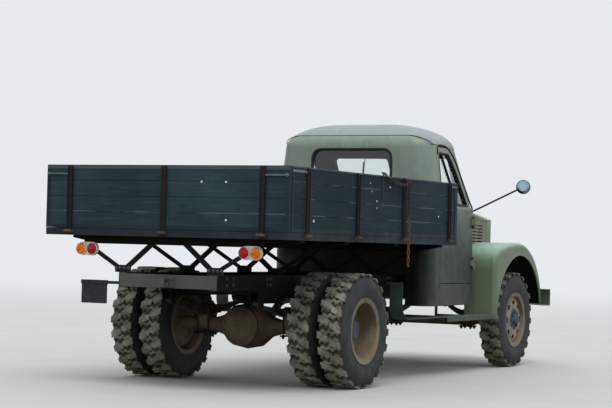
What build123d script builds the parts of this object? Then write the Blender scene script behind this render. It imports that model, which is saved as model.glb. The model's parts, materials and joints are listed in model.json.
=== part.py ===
from build123d import *
import math
import os

os.makedirs("parts", exist_ok=True)

# Military cargo truck with a dropside bed, twin rear wheels and a rounded steel cab.
# Frame: +X forward, +Y left, +Z up, with the origin on the ground under the middle of the truck.
# All sizes are in millimetres.

# Axles and wheels
wheelbase = 4000
rear_axle_x = -1725
front_axle_x = rear_axle_x + wheelbase
tyre_radius = 490
tyre_half_width = 120
tread_half_width = 92
lug_height = 28
lug_count = 22
rim_radius = 254
flange_radius = 282
rim_half_width = 96
front_track = 1700
rear_track = 1738
dual_spacing = 290
axle_z = tyre_radius
kingpin_y = 690

# Running clearances
gap = 5
seat_gap = 0.3
pin_gap = 0.3

# Frame
rail_outer_y = 465
rail_flange = 75
rail_wall = 8
rail_top_z = 945
rail_mid_low_z = 745
rail_rear_low_z = 820
rail_front_top_z = 800
rail_front_low_z = 680
frame_rear_x = -3115
frame_front_x = 3150

# Cargo bed
bed_rear_x = -3200
bed_front_x = 195
bed_half_width = 1140
floor_low_z = 1241
floor_top_z = 1300
gate_top_z = 1821
board_thickness = 35
strap_thickness = 12
strap_width = 46
gate_pivot_out = 26
gate_pivot_z = 1272
knuckle_radius = 13
gate_pin_radius = 6
side_strap_xs = (-2895, -1975, -1041, -11)
tail_strap_ys = (-905, 0, 905)
bearer_xs = (-2846, -2029, -1021, -40)
bearer_low_z = 1175

# Cab
cab_rear_x = 235
cab_front_x = 1480
cab_low_z = 655
belt_z = 1600
window_sill_z = 1640
eave_z = 2170
roof_top_z = 2413
cab_half_width = 860
cowl_half_width = 812
cab_wall = 45
door_rear_x = 500
door_front_x = 1400
door_low_z = 868
door_top_z = 2195
hinge_out = 16
cab_floor_z = 950

# Hood, grille and fenders
hood_rear_x = cab_front_x + 8
hood_pivot_x = cab_front_x + 4
hood_front_x = 2640
grille_front_x = 2760
hood_wall = 14
hood_split_rear_z = 1560
hood_split_front_z = 1500
fender_outer_y = 1000
fender_inner_y = 400
fender_wall = 8
fender_top_z = 1288
arch_radius = 652
bumper_front_x = 3240
bumper_low_z = 627
bumper_top_z = 806
board_top_z = 558


def block(x, y, z, mode=Mode.ADD):
    """A block between two limits along each axis."""
    centre = ((x[0] + x[1]) / 2, (y[0] + y[1]) / 2, (z[0] + z[1]) / 2)
    with Locations(centre):
        Box(abs(x[1] - x[0]), abs(y[1] - y[0]), abs(z[1] - z[0]), mode=mode)


def side_slab(outline, y, mode=Mode.ADD):
    """A side outline, points in X and Z, between two values of Y."""
    low, high = min(y), max(y)
    with BuildSketch(Plane((0, high, 0), x_dir=(1, 0, 0), z_dir=(0, -1, 0))) as shape:
        with BuildLine():
            Polyline(*outline, close=True)
        make_face()
    extrude(shape.sketch, amount=high - low, mode=mode)


def cross_slab(outline, x, mode=Mode.ADD):
    """A cross outline, points in Y and Z, between two values of X."""
    low, high = min(x), max(x)
    with BuildSketch(Plane((low, 0, 0), x_dir=(0, 1, 0), z_dir=(1, 0, 0))) as shape:
        with BuildLine():
            Polyline(*outline, close=True)
        make_face()
    extrude(shape.sketch, amount=high - low, mode=mode)


def flat_slab(outline, z, mode=Mode.ADD):
    """A plan outline, points in X and Y, between two values of Z."""
    low, high = min(z), max(z)
    with BuildSketch(Plane.XY.offset(low)) as shape:
        with BuildLine():
            Polyline(*outline, close=True)
        make_face()
    extrude(shape.sketch, amount=high - low, mode=mode)


def rod(start, end, radius, mode=Mode.ADD):
    """A round rod between two points."""
    start, end = Vector(start), Vector(end)
    with BuildSketch(Plane(start, z_dir=end - start)) as shape:
        Circle(radius)
    extrude(shape.sketch, amount=(end - start).length, mode=mode)


def turned(outline, centre, mode=Mode.ADD):
    """A profile, points in Y and radius, turned about the wheel's own axis."""
    with BuildSketch(Plane(centre, x_dir=(0, 1, 0), z_dir=(1, 0, 0))) as shape:
        with BuildLine():
            Polyline(*outline, close=True)
        make_face()
    revolve(shape.sketch, axis=Axis(centre, (0, 1, 0)), mode=mode)


# One tyre about the origin, its axle along Y, with slanted lugs on each shoulder
carcass_radius = tyre_radius - lug_height
lug_pitch = 2 * math.pi * tyre_radius / lug_count
lug_reach = 0.34 * lug_pitch
lug_top = math.sqrt(tyre_radius**2 - lug_reach**2)
lug_root = carcass_radius - 14
tyre_mid_radius = (rim_radius + tyre_radius) / 2
with BuildPart() as tyre:
    half_section = [
        (rim_half_width, rim_radius),
        (tyre_half_width - 4, tyre_mid_radius - 50),
        (tyre_half_width, tyre_mid_radius + 10),
        (tread_half_width + 16, carcass_radius - 24),
        (tread_half_width, carcass_radius),
    ]
    turned(half_section + [(-y, radius) for y, radius in reversed(half_section)], (0, 0, 0))
    for side, start in ((1, 0.25), (-1, 0.75)):
        lug_planes = []
        for count in range(lug_count):
            angle = 2 * math.pi * (count + start) / lug_count - math.pi / 2
            outward = Vector(math.cos(angle), 0, math.sin(angle))
            lug_planes.append(Plane(outward * lug_root, x_dir=(0, 1, 0), z_dir=outward))
        with BuildSketch(*lug_planes) as lug_faces:
            with BuildLine():
                Polyline(
                    (side * 4, -side * lug_reach),
                    (side * 4, 0),
                    (side * (tread_half_width + 12), side * 0.30 * lug_pitch),
                    (side * (tread_half_width + 12), -side * 0.12 * lug_pitch),
                    close=True,
                )
            make_face()
        extrude(lug_faces.sketch, amount=lug_top - lug_root)

# The rolling wheels, built about the origin with their outer side towards +Y
front_hub_in = -95
front_bore = 30
front_bore_end = 62
rear_bore = 68
rear_bore_end = 120
with BuildPart() as front_wheel:
    rim_line = [
        (-rim_half_width - 16, flange_radius),
        (-rim_half_width - 8, flange_radius),
        (-rim_half_width - 1, rim_radius - 1),
        (rim_half_width + 1, rim_radius - 1),
        (rim_half_width + 8, flange_radius),
        (rim_half_width + 16, flange_radius),
        (rim_half_width + 8, rim_radius - 12),
        (-rim_half_width - 8, rim_radius - 12),
    ]
    turned(rim_line, (0, 0, 0))
    turned(
        [
            (62, rim_radius - 8),
            (84, 196),
            (92, 112),
            (92, 50),
            (80, 50),
            (80, 110),
            (72, 192),
            (48, rim_radius - 8),
        ],
        (0, 0, 0),
    )
    turned([(front_hub_in, 0), (134, 0), (134, 44), (110, 58), (72, 62), (front_hub_in, 62)], (0, 0, 0))
    front_bore_outline = [
        (front_hub_in - 1, 0),
        (front_bore_end, 0),
        (front_bore_end, front_bore),
        (front_hub_in - 1, front_bore),
    ]
    turned(front_bore_outline, (0, 0, 0), Mode.SUBTRACT)
    with BuildSketch(Plane.XZ) as hand_holes:
        with PolarLocations(178, 8):
            Ellipse(22, 36)
    extrude(hand_holes.sketch, amount=rim_half_width, both=True, mode=Mode.SUBTRACT)
    with BuildSketch(Plane.XZ.offset(-91)) as front_nuts:
        with PolarLocations(86, 8):
            RegularPolygon(15, 6)
    extrude(front_nuts.sketch, amount=-20)

with BuildPart() as rear_wheel:
    for side in (1, -1):
        centre = (0, side * dual_spacing / 2, 0)
        turned([(side * a, b) for a, b in rim_line], centre)
        turned(
            [
                (side * (-60), rim_radius - 8),
                (side * (-dual_spacing / 2 + 12), 200),
                (side * (-dual_spacing / 2 + 12), 84),
                (side * (-dual_spacing / 2), 84),
                (side * (-dual_spacing / 2), 206),
                (side * (-72), rim_radius - 8),
            ],
            centre,
        )
    rear_hub_in = -dual_spacing / 2 - 45
    turned(
        [(rear_hub_in, rear_bore), (rear_bore_end, rear_bore), (rear_bore_end, 84), (34, 94), (rear_hub_in, 94)],
        (0, 0, 0),
    )
    turned([(rear_bore_end, 0), (168, 0), (168, 62), (152, 84), (rear_bore_end, 84)], (0, 0, 0))
    drum = [(rear_hub_in, 80), (rear_hub_in, 208), (-62, 208), (-62, 200), (-70, 190), (-60, 80)]
    turned(drum, (0, 0, 0))
    drum_hollow = [(rear_hub_in - 1, 120), (rear_hub_in - 1, 196), (-78, 196), (-78, 120)]
    turned(drum_hollow, (0, 0, 0), Mode.SUBTRACT)
    with BuildSketch(Plane.XZ.offset(-11)) as rear_nuts:
        with PolarLocations(138, 10):
            RegularPolygon(15, 6)
    extrude(rear_nuts.sketch, amount=-24)

front_centre_y = front_track / 2
rear_centre_y = rear_track / 2
with BuildPart() as front_tyre_left:
    with Locations((front_axle_x, front_centre_y, axle_z)):
        add(tyre.part)
front_tyre_left.part.label = "front_tyre_left"
export_step(front_tyre_left.part, "parts/front_tyre_left.step")

with BuildPart() as front_tyre_right:
    mirror(front_tyre_left.part, about=Plane.XZ)
front_tyre_right.part.label = "front_tyre_right"
export_step(front_tyre_right.part, "parts/front_tyre_right.step")

with BuildPart() as front_wheel_left:
    with Locations((front_axle_x, front_centre_y, axle_z)):
        add(front_wheel.part)
    add(front_tyre_left.part, mode=Mode.SUBTRACT)
front_wheel_left.part.label = "front_wheel_left"
export_step(front_wheel_left.part, "parts/front_wheel_left.step")

with BuildPart() as front_wheel_right:
    mirror(front_wheel_left.part, about=Plane.XZ)
front_wheel_right.part.label = "front_wheel_right"
export_step(front_wheel_right.part, "parts/front_wheel_right.step")

with BuildPart() as rear_tyres_left:
    for offset_y in (-dual_spacing / 2, dual_spacing / 2):
        with Locations((rear_axle_x, rear_centre_y + offset_y, axle_z)):
            add(tyre.part)
rear_tyres_left.part.label = "rear_tyres_left"
export_step(rear_tyres_left.part, "parts/rear_tyres_left.step")

with BuildPart() as rear_tyres_right:
    mirror(rear_tyres_left.part, about=Plane.XZ)
rear_tyres_right.part.label = "rear_tyres_right"
export_step(rear_tyres_right.part, "parts/rear_tyres_right.step")

with BuildPart() as rear_wheels_left:
    with Locations((rear_axle_x, rear_centre_y, axle_z)):
        add(rear_wheel.part)
    add(rear_tyres_left.part, mode=Mode.SUBTRACT)
rear_wheels_left.part.label = "rear_wheels_left"
export_step(rear_wheels_left.part, "parts/rear_wheels_left.step")

with BuildPart() as rear_wheels_right:
    mirror(rear_wheels_left.part, about=Plane.XZ)
rear_wheels_right.part.label = "rear_wheels_right"
export_step(rear_wheels_right.part, "parts/rear_wheels_right.step")


# Frame: two tapered channel rails and the crossmembers between them
rail_step_x = -2300
rail_bend_x = 1500
rail_outline = [
    (frame_rear_x, rail_rear_low_z),
    (rail_step_x - 200, rail_rear_low_z),
    (rail_step_x, rail_mid_low_z),
    (rail_bend_x, rail_mid_low_z),
    (frame_front_x, rail_front_low_z),
    (frame_front_x, rail_front_top_z),
    (rail_bend_x, rail_top_z),
    (frame_rear_x, rail_top_z),
]
rail_inner_y = rail_outer_y - rail_flange
spring_y = rail_outer_y - rail_flange / 2
rear_spring_half = 640
front_spring_half = 520
rear_eye_z = 706
front_eye_z = 642
eye_radius = 21
hanger_wall = 10
rail_slope = (rail_mid_low_z - rail_front_low_z) / (frame_front_x - rail_bend_x)


def rail_foot(x):
    """Height of the rail's lower face at X."""
    if x < rail_bend_x:
        return rail_rear_low_z if x < rail_step_x else rail_mid_low_z
    return rail_mid_low_z - (x - rail_bend_x) * rail_slope


def rail_roof(x):
    """Height of the rail's upper face at X, ahead of the bend."""
    return rail_top_z - (x - rail_bend_x) * (rail_top_z - rail_front_top_z) / (frame_front_x - rail_bend_x)


# Spring hangers under the rails: X and height of each eye
hangers = (
    (rear_axle_x - rear_spring_half - 8, rear_eye_z),
    (rear_axle_x + rear_spring_half + 8, rear_eye_z),
    (front_axle_x - front_spring_half - 8, front_eye_z),
    (front_axle_x + front_spring_half + 8, front_eye_z),
)
with BuildPart() as frame_rails:
    rail_plane = Plane((0, rail_outer_y, 0), x_dir=(1, 0, 0), z_dir=(0, -1, 0))
    with BuildSketch(rail_plane) as rail_side:
        with BuildLine():
            Polyline(*rail_outline, close=True)
        make_face()
    extrude(rail_side.sketch, amount=rail_flange)
    with BuildSketch(rail_plane.offset(rail_wall)) as rail_hollow:
        with BuildLine():
            Polyline(*rail_outline, close=True)
        make_face()
        offset(amount=-rail_wall, kind=Kind.INTERSECTION, mode=Mode.REPLACE)
    extrude(rail_hollow.sketch, amount=rail_flange, mode=Mode.SUBTRACT)
    for end_x in (frame_rear_x, frame_front_x):
        block(
            (end_x - rail_wall, end_x + rail_wall),
            (rail_inner_y - 1, rail_outer_y - rail_wall),
            (rail_front_low_z + rail_wall if end_x > 0 else rail_rear_low_z + rail_wall,
             rail_front_top_z - rail_wall if end_x > 0 else rail_top_z - rail_wall),
            Mode.SUBTRACT,
        )
    for eye_x, eye_z in hangers:
        for cheek_y in (spring_y + 35 + seat_gap, spring_y - 35 - seat_gap - hanger_wall):
            side_slab(
                [
                    (eye_x - 70, rail_foot(eye_x - 70) + 2),
                    (eye_x + 70, rail_foot(eye_x + 70) + 2),
                    (eye_x + 30, eye_z - 28),
                    (eye_x - 30, eye_z - 28),
                ],
                (cheek_y, cheek_y + hanger_wall),
            )
        side_slab(
            [
                (eye_x - 66, rail_foot(eye_x - 66) + 2),
                (eye_x + 66, rail_foot(eye_x + 66) + 2),
                (eye_x + 66, rail_foot(eye_x + 66) - hanger_wall),
                (eye_x - 66, rail_foot(eye_x - 66) - hanger_wall),
            ],
            (spring_y - 40, spring_y + 40),
        )
    mirror(about=Plane.XZ)
frame_rails.part.label = "frame_rails"
export_step(frame_rails.part, "parts/frame_rails.step")

# Crossmembers: station X, low Z, top Z and depth along X
crossmembers = (
    (frame_rear_x + 30, rail_rear_low_z + rail_wall, rail_top_z - rail_wall - 1, 60),
    (-2250, 770, 930, 60),
    (-1150, 770, 930, 60),
    (150, 850, 934, 60),
    (1020, 760, 800, 70),
    (frame_front_x - 70, rail_front_low_z + 20, rail_front_top_z - 14, 60),
)
web_inner_y = rail_outer_y - rail_wall
with BuildPart() as frame_crossmembers:
    for x, low, top, depth in crossmembers:
        block((x - depth / 2, x + depth / 2), (-web_inner_y, web_inner_y), (low, top))
        block((x - depth / 2 + rail_wall, x + depth / 2), (-web_inner_y, web_inner_y), (low + 6, top - 6),
              Mode.SUBTRACT)
frame_crossmembers.part.label = "frame_crossmembers"
export_step(frame_crossmembers.part, "parts/frame_crossmembers.step")

# Tow hook at the middle of the rear crossmember: a plate, a shank and an open jaw closed by a latch
tow_z = 875
tow_face_x = crossmembers[0][0] - crossmembers[0][3] / 2
tow_reach = 108
tow_eye_radius = 26
with BuildPart() as tow_hook:
    block((tow_face_x - 12, tow_face_x), (-70, 70), (tow_z - 42, tow_z + 42))
    rod((tow_face_x - 12, 0, tow_z), (tow_face_x - 46, 0, tow_z), 22)
    with Locations((tow_face_x - tow_reach + 40, 0, tow_z)):
        Box(74, 60, 76)
    with Locations(Location((tow_face_x - tow_reach + 40, 0, tow_z), (90, 0, 0))):
        Cylinder(tow_eye_radius, 80, mode=Mode.SUBTRACT)
tow_hook.part.label = "tow_hook"
export_step(tow_hook.part, "parts/tow_hook.step")

# Bed supports: flat struts in V shape at stations along each rail, on a gusset at the rail's top
support_xs = (frame_rear_x + 10, -2080, -1060, -100)
strut_width = 70
strut_plate = 10
gusset_top_z = rail_top_z + 60
with BuildPart() as bed_supports:
    for x in support_xs:
        for side in (1, -1):
            foot_y = side * (rail_outer_y - 30)
            block((x, x + strut_plate), (foot_y - 75, foot_y + 75), (rail_top_z, gusset_top_z))
            for out_y, in_y in ((side * 800, side * 460), (side * 170, side * 410)):
                lean = 1 if out_y > in_y else -1
                half = strut_width / 2
                cross_slab(
                    [
                        (in_y - half, gusset_top_z - 30),
                        (in_y + half, gusset_top_z - 30),
                        (out_y + half, bearer_low_z),
                        (out_y - half, bearer_low_z),
                    ],
                    (x, x + strut_plate),
                )
bed_supports.part.label = "bed_supports"
export_step(bed_supports.part, "parts/bed_supports.step")

# Bed floor: planks in a steel edge frame on two long sills and cross bearers with tapered ends
gate_inner_y = bed_half_width - board_thickness
fork_thickness = 10
fork_gap = 1.5
rebate = 6
side_pivot_y = bed_half_width + gate_pivot_out
tail_pivot_x = bed_rear_x - gate_pivot_out
with BuildPart() as bed_floor:
    block((bed_rear_x, bed_front_x), (-bed_half_width, bed_half_width), (floor_low_z, floor_top_z))
    block((bed_front_x - board_thickness, bed_front_x), (-bed_half_width, bed_half_width),
          (floor_top_z - rebate, floor_top_z), Mode.SUBTRACT)
    plank_width = (2 * gate_inner_y) / 14
    with GridLocations(0, plank_width, 1, 13):
        with Locations(((bed_rear_x + bed_front_x) / 2, 0, floor_top_z - 2)):
            Box(bed_front_x - bed_rear_x - 2 * board_thickness - 20, 6, 4, mode=Mode.SUBTRACT)
    fork_low_z, fork_top_z = gate_pivot_z - 13, gate_pivot_z + 13
    for hand in (1, -1):
        near = hand * (strap_width / 2 + fork_gap)
        away = near + hand * fork_thickness
        for strap_x in side_strap_xs:
            for side_y in (side_pivot_y, -side_pivot_y):
                start = (strap_x + near, side_y, gate_pivot_z)
                end = (strap_x + away, side_y, gate_pivot_z)
                edge_y = math.copysign(bed_half_width, side_y)
                block((start[0], end[0]), (edge_y, side_y), (fork_low_z, fork_top_z))
                rod(start, end, knuckle_radius)
                rod(start, end, gate_pin_radius + pin_gap, Mode.SUBTRACT)
        for strap_y in tail_strap_ys:
            start = (tail_pivot_x, strap_y + near, gate_pivot_z)
            end = (tail_pivot_x, strap_y + away, gate_pivot_z)
            block((tail_pivot_x, bed_rear_x), (start[1], end[1]), (fork_low_z, fork_top_z))
            rod(start, end, knuckle_radius)
            rod(start, end, gate_pin_radius + pin_gap, Mode.SUBTRACT)
bed_floor.part.label = "bed_floor"
export_step(bed_floor.part, "parts/bed_floor.step")

with BuildPart() as bed_bearers:
    bearer_end_y = bed_half_width - 60
    for x in bearer_xs:
        cross_slab(
            [
                (-bearer_end_y, floor_low_z),
                (-bearer_end_y, floor_low_z - 20),
                (-bearer_end_y + 260, bearer_low_z),
                (bearer_end_y - 260, bearer_low_z),
                (bearer_end_y, floor_low_z - 20),
                (bearer_end_y, floor_low_z),
            ],
            (x - 45, x + 45),
        )
    for x in support_xs:
        block((x, x + 60), (-bearer_end_y + 260, bearer_end_y - 260), (bearer_low_z, floor_low_z))
bed_bearers.part.label = "bed_bearers"
export_step(bed_bearers.part, "parts/bed_bearers.step")

# Gates: boards with a steel edge, and straps that end in the hinge knuckles
gate_low_z = floor_top_z + gap
side_gate_rear_x = bed_rear_x + board_thickness + gap
side_gate_front_x = bed_front_x - board_thickness - gap
pin_reach = fork_thickness + fork_gap
board_rows = 4
row_height = (gate_top_z - gate_low_z) / board_rows
seam_zs = [gate_low_z + row * row_height for row in range(1, board_rows)]
seam_half = 3
tongue_z = (gate_pivot_z + 4, gate_pivot_z + 12)
strap_z = (gate_pivot_z + 6, gate_top_z - 12)
strap_half = strap_width / 2
latch_z = gate_top_z - 38
latch_bar = 10
with BuildPart() as side_gate_left:
    block((side_gate_rear_x, side_gate_front_x), (gate_inner_y, bed_half_width), (gate_low_z, gate_top_z))
    for seam_z in seam_zs:
        for face_y in (gate_inner_y, bed_half_width):
            block(
                (side_gate_rear_x + 30, side_gate_front_x - 30),
                (face_y - seam_half, face_y + seam_half),
                (seam_z - seam_half, seam_z + seam_half),
                Mode.SUBTRACT,
            )
    for strap_x in side_strap_xs:
        width = (strap_x - strap_half, strap_x + strap_half)
        block(width, (bed_half_width, bed_half_width + strap_thickness), strap_z)
        block(width, (bed_half_width + 2, side_pivot_y), tongue_z)
        rod((width[0], side_pivot_y, gate_pivot_z), (width[1], side_pivot_y, gate_pivot_z), knuckle_radius)
        rod((width[0] - pin_reach, side_pivot_y, gate_pivot_z),
            (width[1] + pin_reach, side_pivot_y, gate_pivot_z), gate_pin_radius)
    for bar_x in ((side_gate_rear_x + 2, side_strap_xs[0]), (side_strap_xs[-1], side_gate_front_x - 2)):
        block(bar_x, (bed_half_width - 2, bed_half_width + latch_bar - 2), (latch_z - latch_bar, latch_z + latch_bar))
side_gate_left.part.label = "side_gate_left"
export_step(side_gate_left.part, "parts/side_gate_left.step")

with BuildPart() as side_gate_right:
    mirror(side_gate_left.part, about=Plane.XZ)
side_gate_right.part.label = "side_gate_right"
export_step(side_gate_right.part, "parts/side_gate_right.step")

with BuildPart() as tailgate:
    block((bed_rear_x, bed_rear_x + board_thickness), (-bed_half_width, bed_half_width), (gate_low_z, gate_top_z))
    for seam_z in seam_zs:
        for face_x in (bed_rear_x, bed_rear_x + board_thickness):
            block(
                (face_x - seam_half, face_x + seam_half),
                (-bed_half_width + 30, bed_half_width - 30),
                (seam_z - seam_half, seam_z + seam_half),
                Mode.SUBTRACT,
            )
    for strap_y in tail_strap_ys:
        width = (strap_y - strap_half, strap_y + strap_half)
        block((bed_rear_x - strap_thickness, bed_rear_x), width, strap_z)
        block((tail_pivot_x, bed_rear_x - 2), width, tongue_z)
        rod((tail_pivot_x, width[0], gate_pivot_z), (tail_pivot_x, width[1], gate_pivot_z), knuckle_radius)
        rod((tail_pivot_x, width[0] - pin_reach, gate_pivot_z),
            (tail_pivot_x, width[1] + pin_reach, gate_pivot_z), gate_pin_radius)
tailgate.part.label = "tailgate"
export_step(tailgate.part, "parts/tailgate.step")

with BuildPart() as headboard:
    block((bed_front_x - board_thickness, bed_front_x), (-bed_half_width, bed_half_width),
          (floor_top_z - rebate, gate_top_z))
    for seam_z in seam_zs:
        for face_x in (bed_front_x - board_thickness, bed_front_x):
            block(
                (face_x - seam_half, face_x + seam_half),
                (-bed_half_width + 30, bed_half_width - 30),
                (seam_z - seam_half, seam_z + seam_half),
                Mode.SUBTRACT,
            )
headboard.part.label = "headboard"
export_step(headboard.part, "parts/headboard.step")

# Chain on the right gate: links turned a quarter from one to the next, draped from a hooked stake to a
# staple beside the strap and hanging on from there
link_length = 46
link_width = 26
link_wire = 3.6
link_pitch = link_length - 2 * link_wire - 1
chain_x = side_strap_xs[2] + 70
chain_y = -(bed_half_width + strap_thickness + link_width / 2 + 2)
chain_top_z = gate_top_z - 30
chain_low_z = 1040
stake_x = side_strap_xs[2] - 489
stake_z = (gate_top_z - 200, gate_top_z + 26)
stake_radius = 6
# Columns: X and Z of each bend of the route, from the stake to the hanging end
chain_route = (
    (stake_x + 10, stake_z[1] - 8),
    (side_strap_xs[2] - 250, gate_top_z - 62),
    (side_strap_xs[2] - 30, gate_top_z - 66),
    (chain_x, chain_top_z),
    (chain_x, chain_low_z),
)


def link_ring(half_long, half_wide):
    """The eight corners of a link's outline, long ways along X."""
    bevel = 0.5 * half_wide
    quarter = [(half_long, half_wide - bevel), (half_long - bevel, half_wide)]
    upper = quarter + [(-x, y) for x, y in reversed(quarter)]
    return upper + [(-x, -y) for x, y in upper]


with BuildPart() as gate_chain:
    block((chain_x - 12, chain_x + 12), (chain_y - 8, -bed_half_width - seat_gap), (chain_top_z - 4, chain_top_z + 4))
    rod((stake_x, chain_y, stake_z[0]), (stake_x, chain_y, stake_z[1]), stake_radius)
    block((stake_x - 30, stake_x + 30), (chain_y - 5, chain_y + 5), (stake_z[1] - 12, stake_z[1]))
    for (start_x, start_z), (end_x, end_z) in zip(chain_route, chain_route[1:]):
        start = Vector(start_x, chain_y, start_z)
        run = Vector(end_x, chain_y, end_z) - start
        link_count = max(1, round(run.length / link_pitch))
        for count in range(link_count):
            middle = start + run * ((count + 0.5) / link_count)
            outward = Vector(0, 1, 0)
            normal = outward if count % 2 else run.cross(outward)
            with BuildSketch(Plane(middle, x_dir=run, z_dir=normal)) as link_face:
                Polygon(*link_ring(link_length / 2, link_width / 2), align=None)
                Polygon(*link_ring(link_length / 2 - 2 * link_wire, link_width / 2 - 2 * link_wire), align=None,
                        mode=Mode.SUBTRACT)
            extrude(link_face.sketch, amount=link_wire, both=True)
gate_chain.part.label = "gate_chain"
export_step(gate_chain.part, "parts/gate_chain.step")


# Rear axle: banjo housing, tubes, brake plates and spring pads
hub_face_y = rear_centre_y + rear_hub_in
spindle_end_y = rear_centre_y + rear_bore_end - 2 * gap
pinion_reach = 300
pinion_z = axle_z + 20
with BuildPart() as rear_axle:
    axle_centre = (rear_axle_x, 0, axle_z)
    turned(
        [
            (-hub_face_y + gap, 0),
            (hub_face_y - gap, 0),
            (hub_face_y - gap, 55),
            (330, 62),
            (235, 90),
            (130, 175),
            (0, 200),
            (-130, 175),
            (-235, 90),
            (-330, 62),
            (-hub_face_y + gap, 55),
        ],
        axle_centre,
    )
    with BuildSketch(Plane((rear_axle_x, 0, axle_z), x_dir=(0, 1, 0), z_dir=(1, 0, 0))):
        Circle(150)
    with BuildSketch(Plane((rear_axle_x + pinion_reach, 0, pinion_z), x_dir=(0, 1, 0), z_dir=(1, 0, 0))):
        Circle(62)
    loft()
    for side in (1, -1):
        plate_y = side * (hub_face_y - gap)
        with Locations(Location((rear_axle_x, plate_y - side * 6, axle_z), (90, 0, 0))):
            Cylinder(198, 12)
        rod((rear_axle_x, plate_y - side * 12, axle_z), (rear_axle_x, side * spindle_end_y, axle_z),
            rear_bore - pin_gap)
        block((rear_axle_x - 75, rear_axle_x + 75), (side * spring_y - 42, side * spring_y + 42),
              (axle_z + 20, axle_z + 82))
rear_axle.part.label = "rear_axle"
export_step(rear_axle.part, "parts/rear_axle.step")


def leaf_spring(axle_x, seat_z, eye_z, half_length, leaf_count, leaf):
    """A stack of leaves curved upwards, the longest on top, on a seat at the axle."""
    rise = eye_z - (seat_z + leaf_count * leaf)
    radius = (half_length**2 + rise**2) / (2 * rise)
    top_z = seat_z + leaf_count * leaf
    centre_z = top_z + radius
    for count in range(leaf_count):
        reach = half_length * (1 - count / (leaf_count + 1))
        inner = radius + count * leaf
        outer = inner + leaf
        end = math.asin(reach / inner)
        with BuildSketch(Plane((axle_x, spring_y + 35, 0), x_dir=(1, 0, 0), z_dir=(0, -1, 0))) as leaf_face:
            with BuildLine():
                corners = []
                for size in (inner, outer):
                    for turn in (-end, 0, end):
                        corners.append((size * math.sin(turn), centre_z - size * math.cos(turn)))
                ThreePointArc(corners[0], corners[1], corners[2])
                Line(corners[2], corners[5])
                ThreePointArc(corners[5], corners[4], corners[3])
                Line(corners[3], corners[0])
            make_face()
        extrude(leaf_face.sketch, amount=70)


with BuildPart() as rear_springs:
    leaf_spring(rear_axle_x, axle_z + 82 + seat_gap, rear_eye_z - 8, rear_spring_half, 9, 9)
    for end in (-1, 1):
        eye_x = rear_axle_x + end * (rear_spring_half + 8)
        rod((eye_x, spring_y + 35, rear_eye_z), (eye_x, spring_y - 35, rear_eye_z), eye_radius)
    mirror(about=Plane.XZ)
rear_springs.part.label = "rear_springs"
export_step(rear_springs.part, "parts/rear_springs.step")

# Front axle: a dropped beam with kingpin eyes
beam_z = 452
beam_half_depth = 42
with BuildPart() as front_axle:
    beam = [
        (-kingpin_y, axle_z + beam_half_depth),
        (-kingpin_y + 120, axle_z + 20),
        (-spring_y - 60, beam_z + beam_half_depth),
        (spring_y + 60, beam_z + beam_half_depth),
        (kingpin_y - 120, axle_z + 20),
        (kingpin_y, axle_z + beam_half_depth),
        (kingpin_y, axle_z - beam_half_depth),
        (kingpin_y - 120, axle_z - 50),
        (spring_y + 60, beam_z - beam_half_depth),
        (-spring_y - 60, beam_z - beam_half_depth),
        (-kingpin_y + 120, axle_z - 50),
        (-kingpin_y, axle_z - beam_half_depth),
    ]
    cross_slab(beam, (front_axle_x - 32, front_axle_x + 32))
    for side in (1, -1):
        rod((front_axle_x, side * kingpin_y, axle_z - 44), (front_axle_x, side * kingpin_y, axle_z + 44), 34)
        rod((front_axle_x, side * kingpin_y, axle_z - 80), (front_axle_x, side * kingpin_y, axle_z + 80), 14)
        block((front_axle_x - 60, front_axle_x + 60), (side * spring_y - 42, side * spring_y + 42),
              (beam_z + beam_half_depth - 4, beam_z + beam_half_depth + 12))
front_axle.part.label = "front_axle"
export_step(front_axle.part, "parts/front_axle.step")

with BuildPart() as front_springs:
    leaf_spring(front_axle_x, beam_z + beam_half_depth + 12 + seat_gap, front_eye_z - 8, front_spring_half, 7, 8)
    for end in (-1, 1):
        eye_x = front_axle_x + end * (front_spring_half + 8)
        rod((eye_x, spring_y + 35, front_eye_z), (eye_x, spring_y - 35, front_eye_z), eye_radius)
    mirror(about=Plane.XZ)
front_springs.part.label = "front_springs"
export_step(front_springs.part, "parts/front_springs.step")

# Steering knuckle: a fork round the axle's eye, a brake plate and a stub that stops short of the hub
knuckle_clear = 1.0
hub_inner_y = front_centre_y + front_hub_in
with BuildPart() as knuckle_left:
    for side in (1, -1):
        low = side * (44 + knuckle_clear)
        high = side * 80
        with Locations((front_axle_x, kingpin_y, axle_z + (low + high) / 2)):
            Cylinder(34, abs(high - low))
    block((front_axle_x - 34, front_axle_x + 34), (kingpin_y + 36, hub_inner_y - gap), (axle_z - 80, axle_z + 80))
    for side in (1, -1):
        low = side * (44 + knuckle_clear)
        block((front_axle_x - 34, front_axle_x + 34), (kingpin_y, kingpin_y + 40),
              (axle_z + min(low, side * 80), axle_z + max(low, side * 80)))
    with Locations((front_axle_x, kingpin_y, axle_z)):
        Cylinder(14 + pin_gap, 170, mode=Mode.SUBTRACT)
    with Locations(Location((front_axle_x, hub_inner_y - gap - 6, axle_z), (90, 0, 0))):
        Cylinder(190, 12)
    with Locations((front_axle_x, kingpin_y, axle_z)):
        Cylinder(34 + 2, 2 * (44 + knuckle_clear), mode=Mode.SUBTRACT)
    spindle_tip_y = front_centre_y + front_bore_end - gap
    rod((front_axle_x, hub_inner_y - gap - 12, axle_z), (front_axle_x, spindle_tip_y, axle_z), front_bore - pin_gap)
knuckle_left.part.label = "knuckle_left"
export_step(knuckle_left.part, "parts/knuckle_left.step")

with BuildPart() as knuckle_right:
    mirror(knuckle_left.part, about=Plane.XZ)
knuckle_right.part.label = "knuckle_right"
export_step(knuckle_right.part, "parts/knuckle_right.step")


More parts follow.
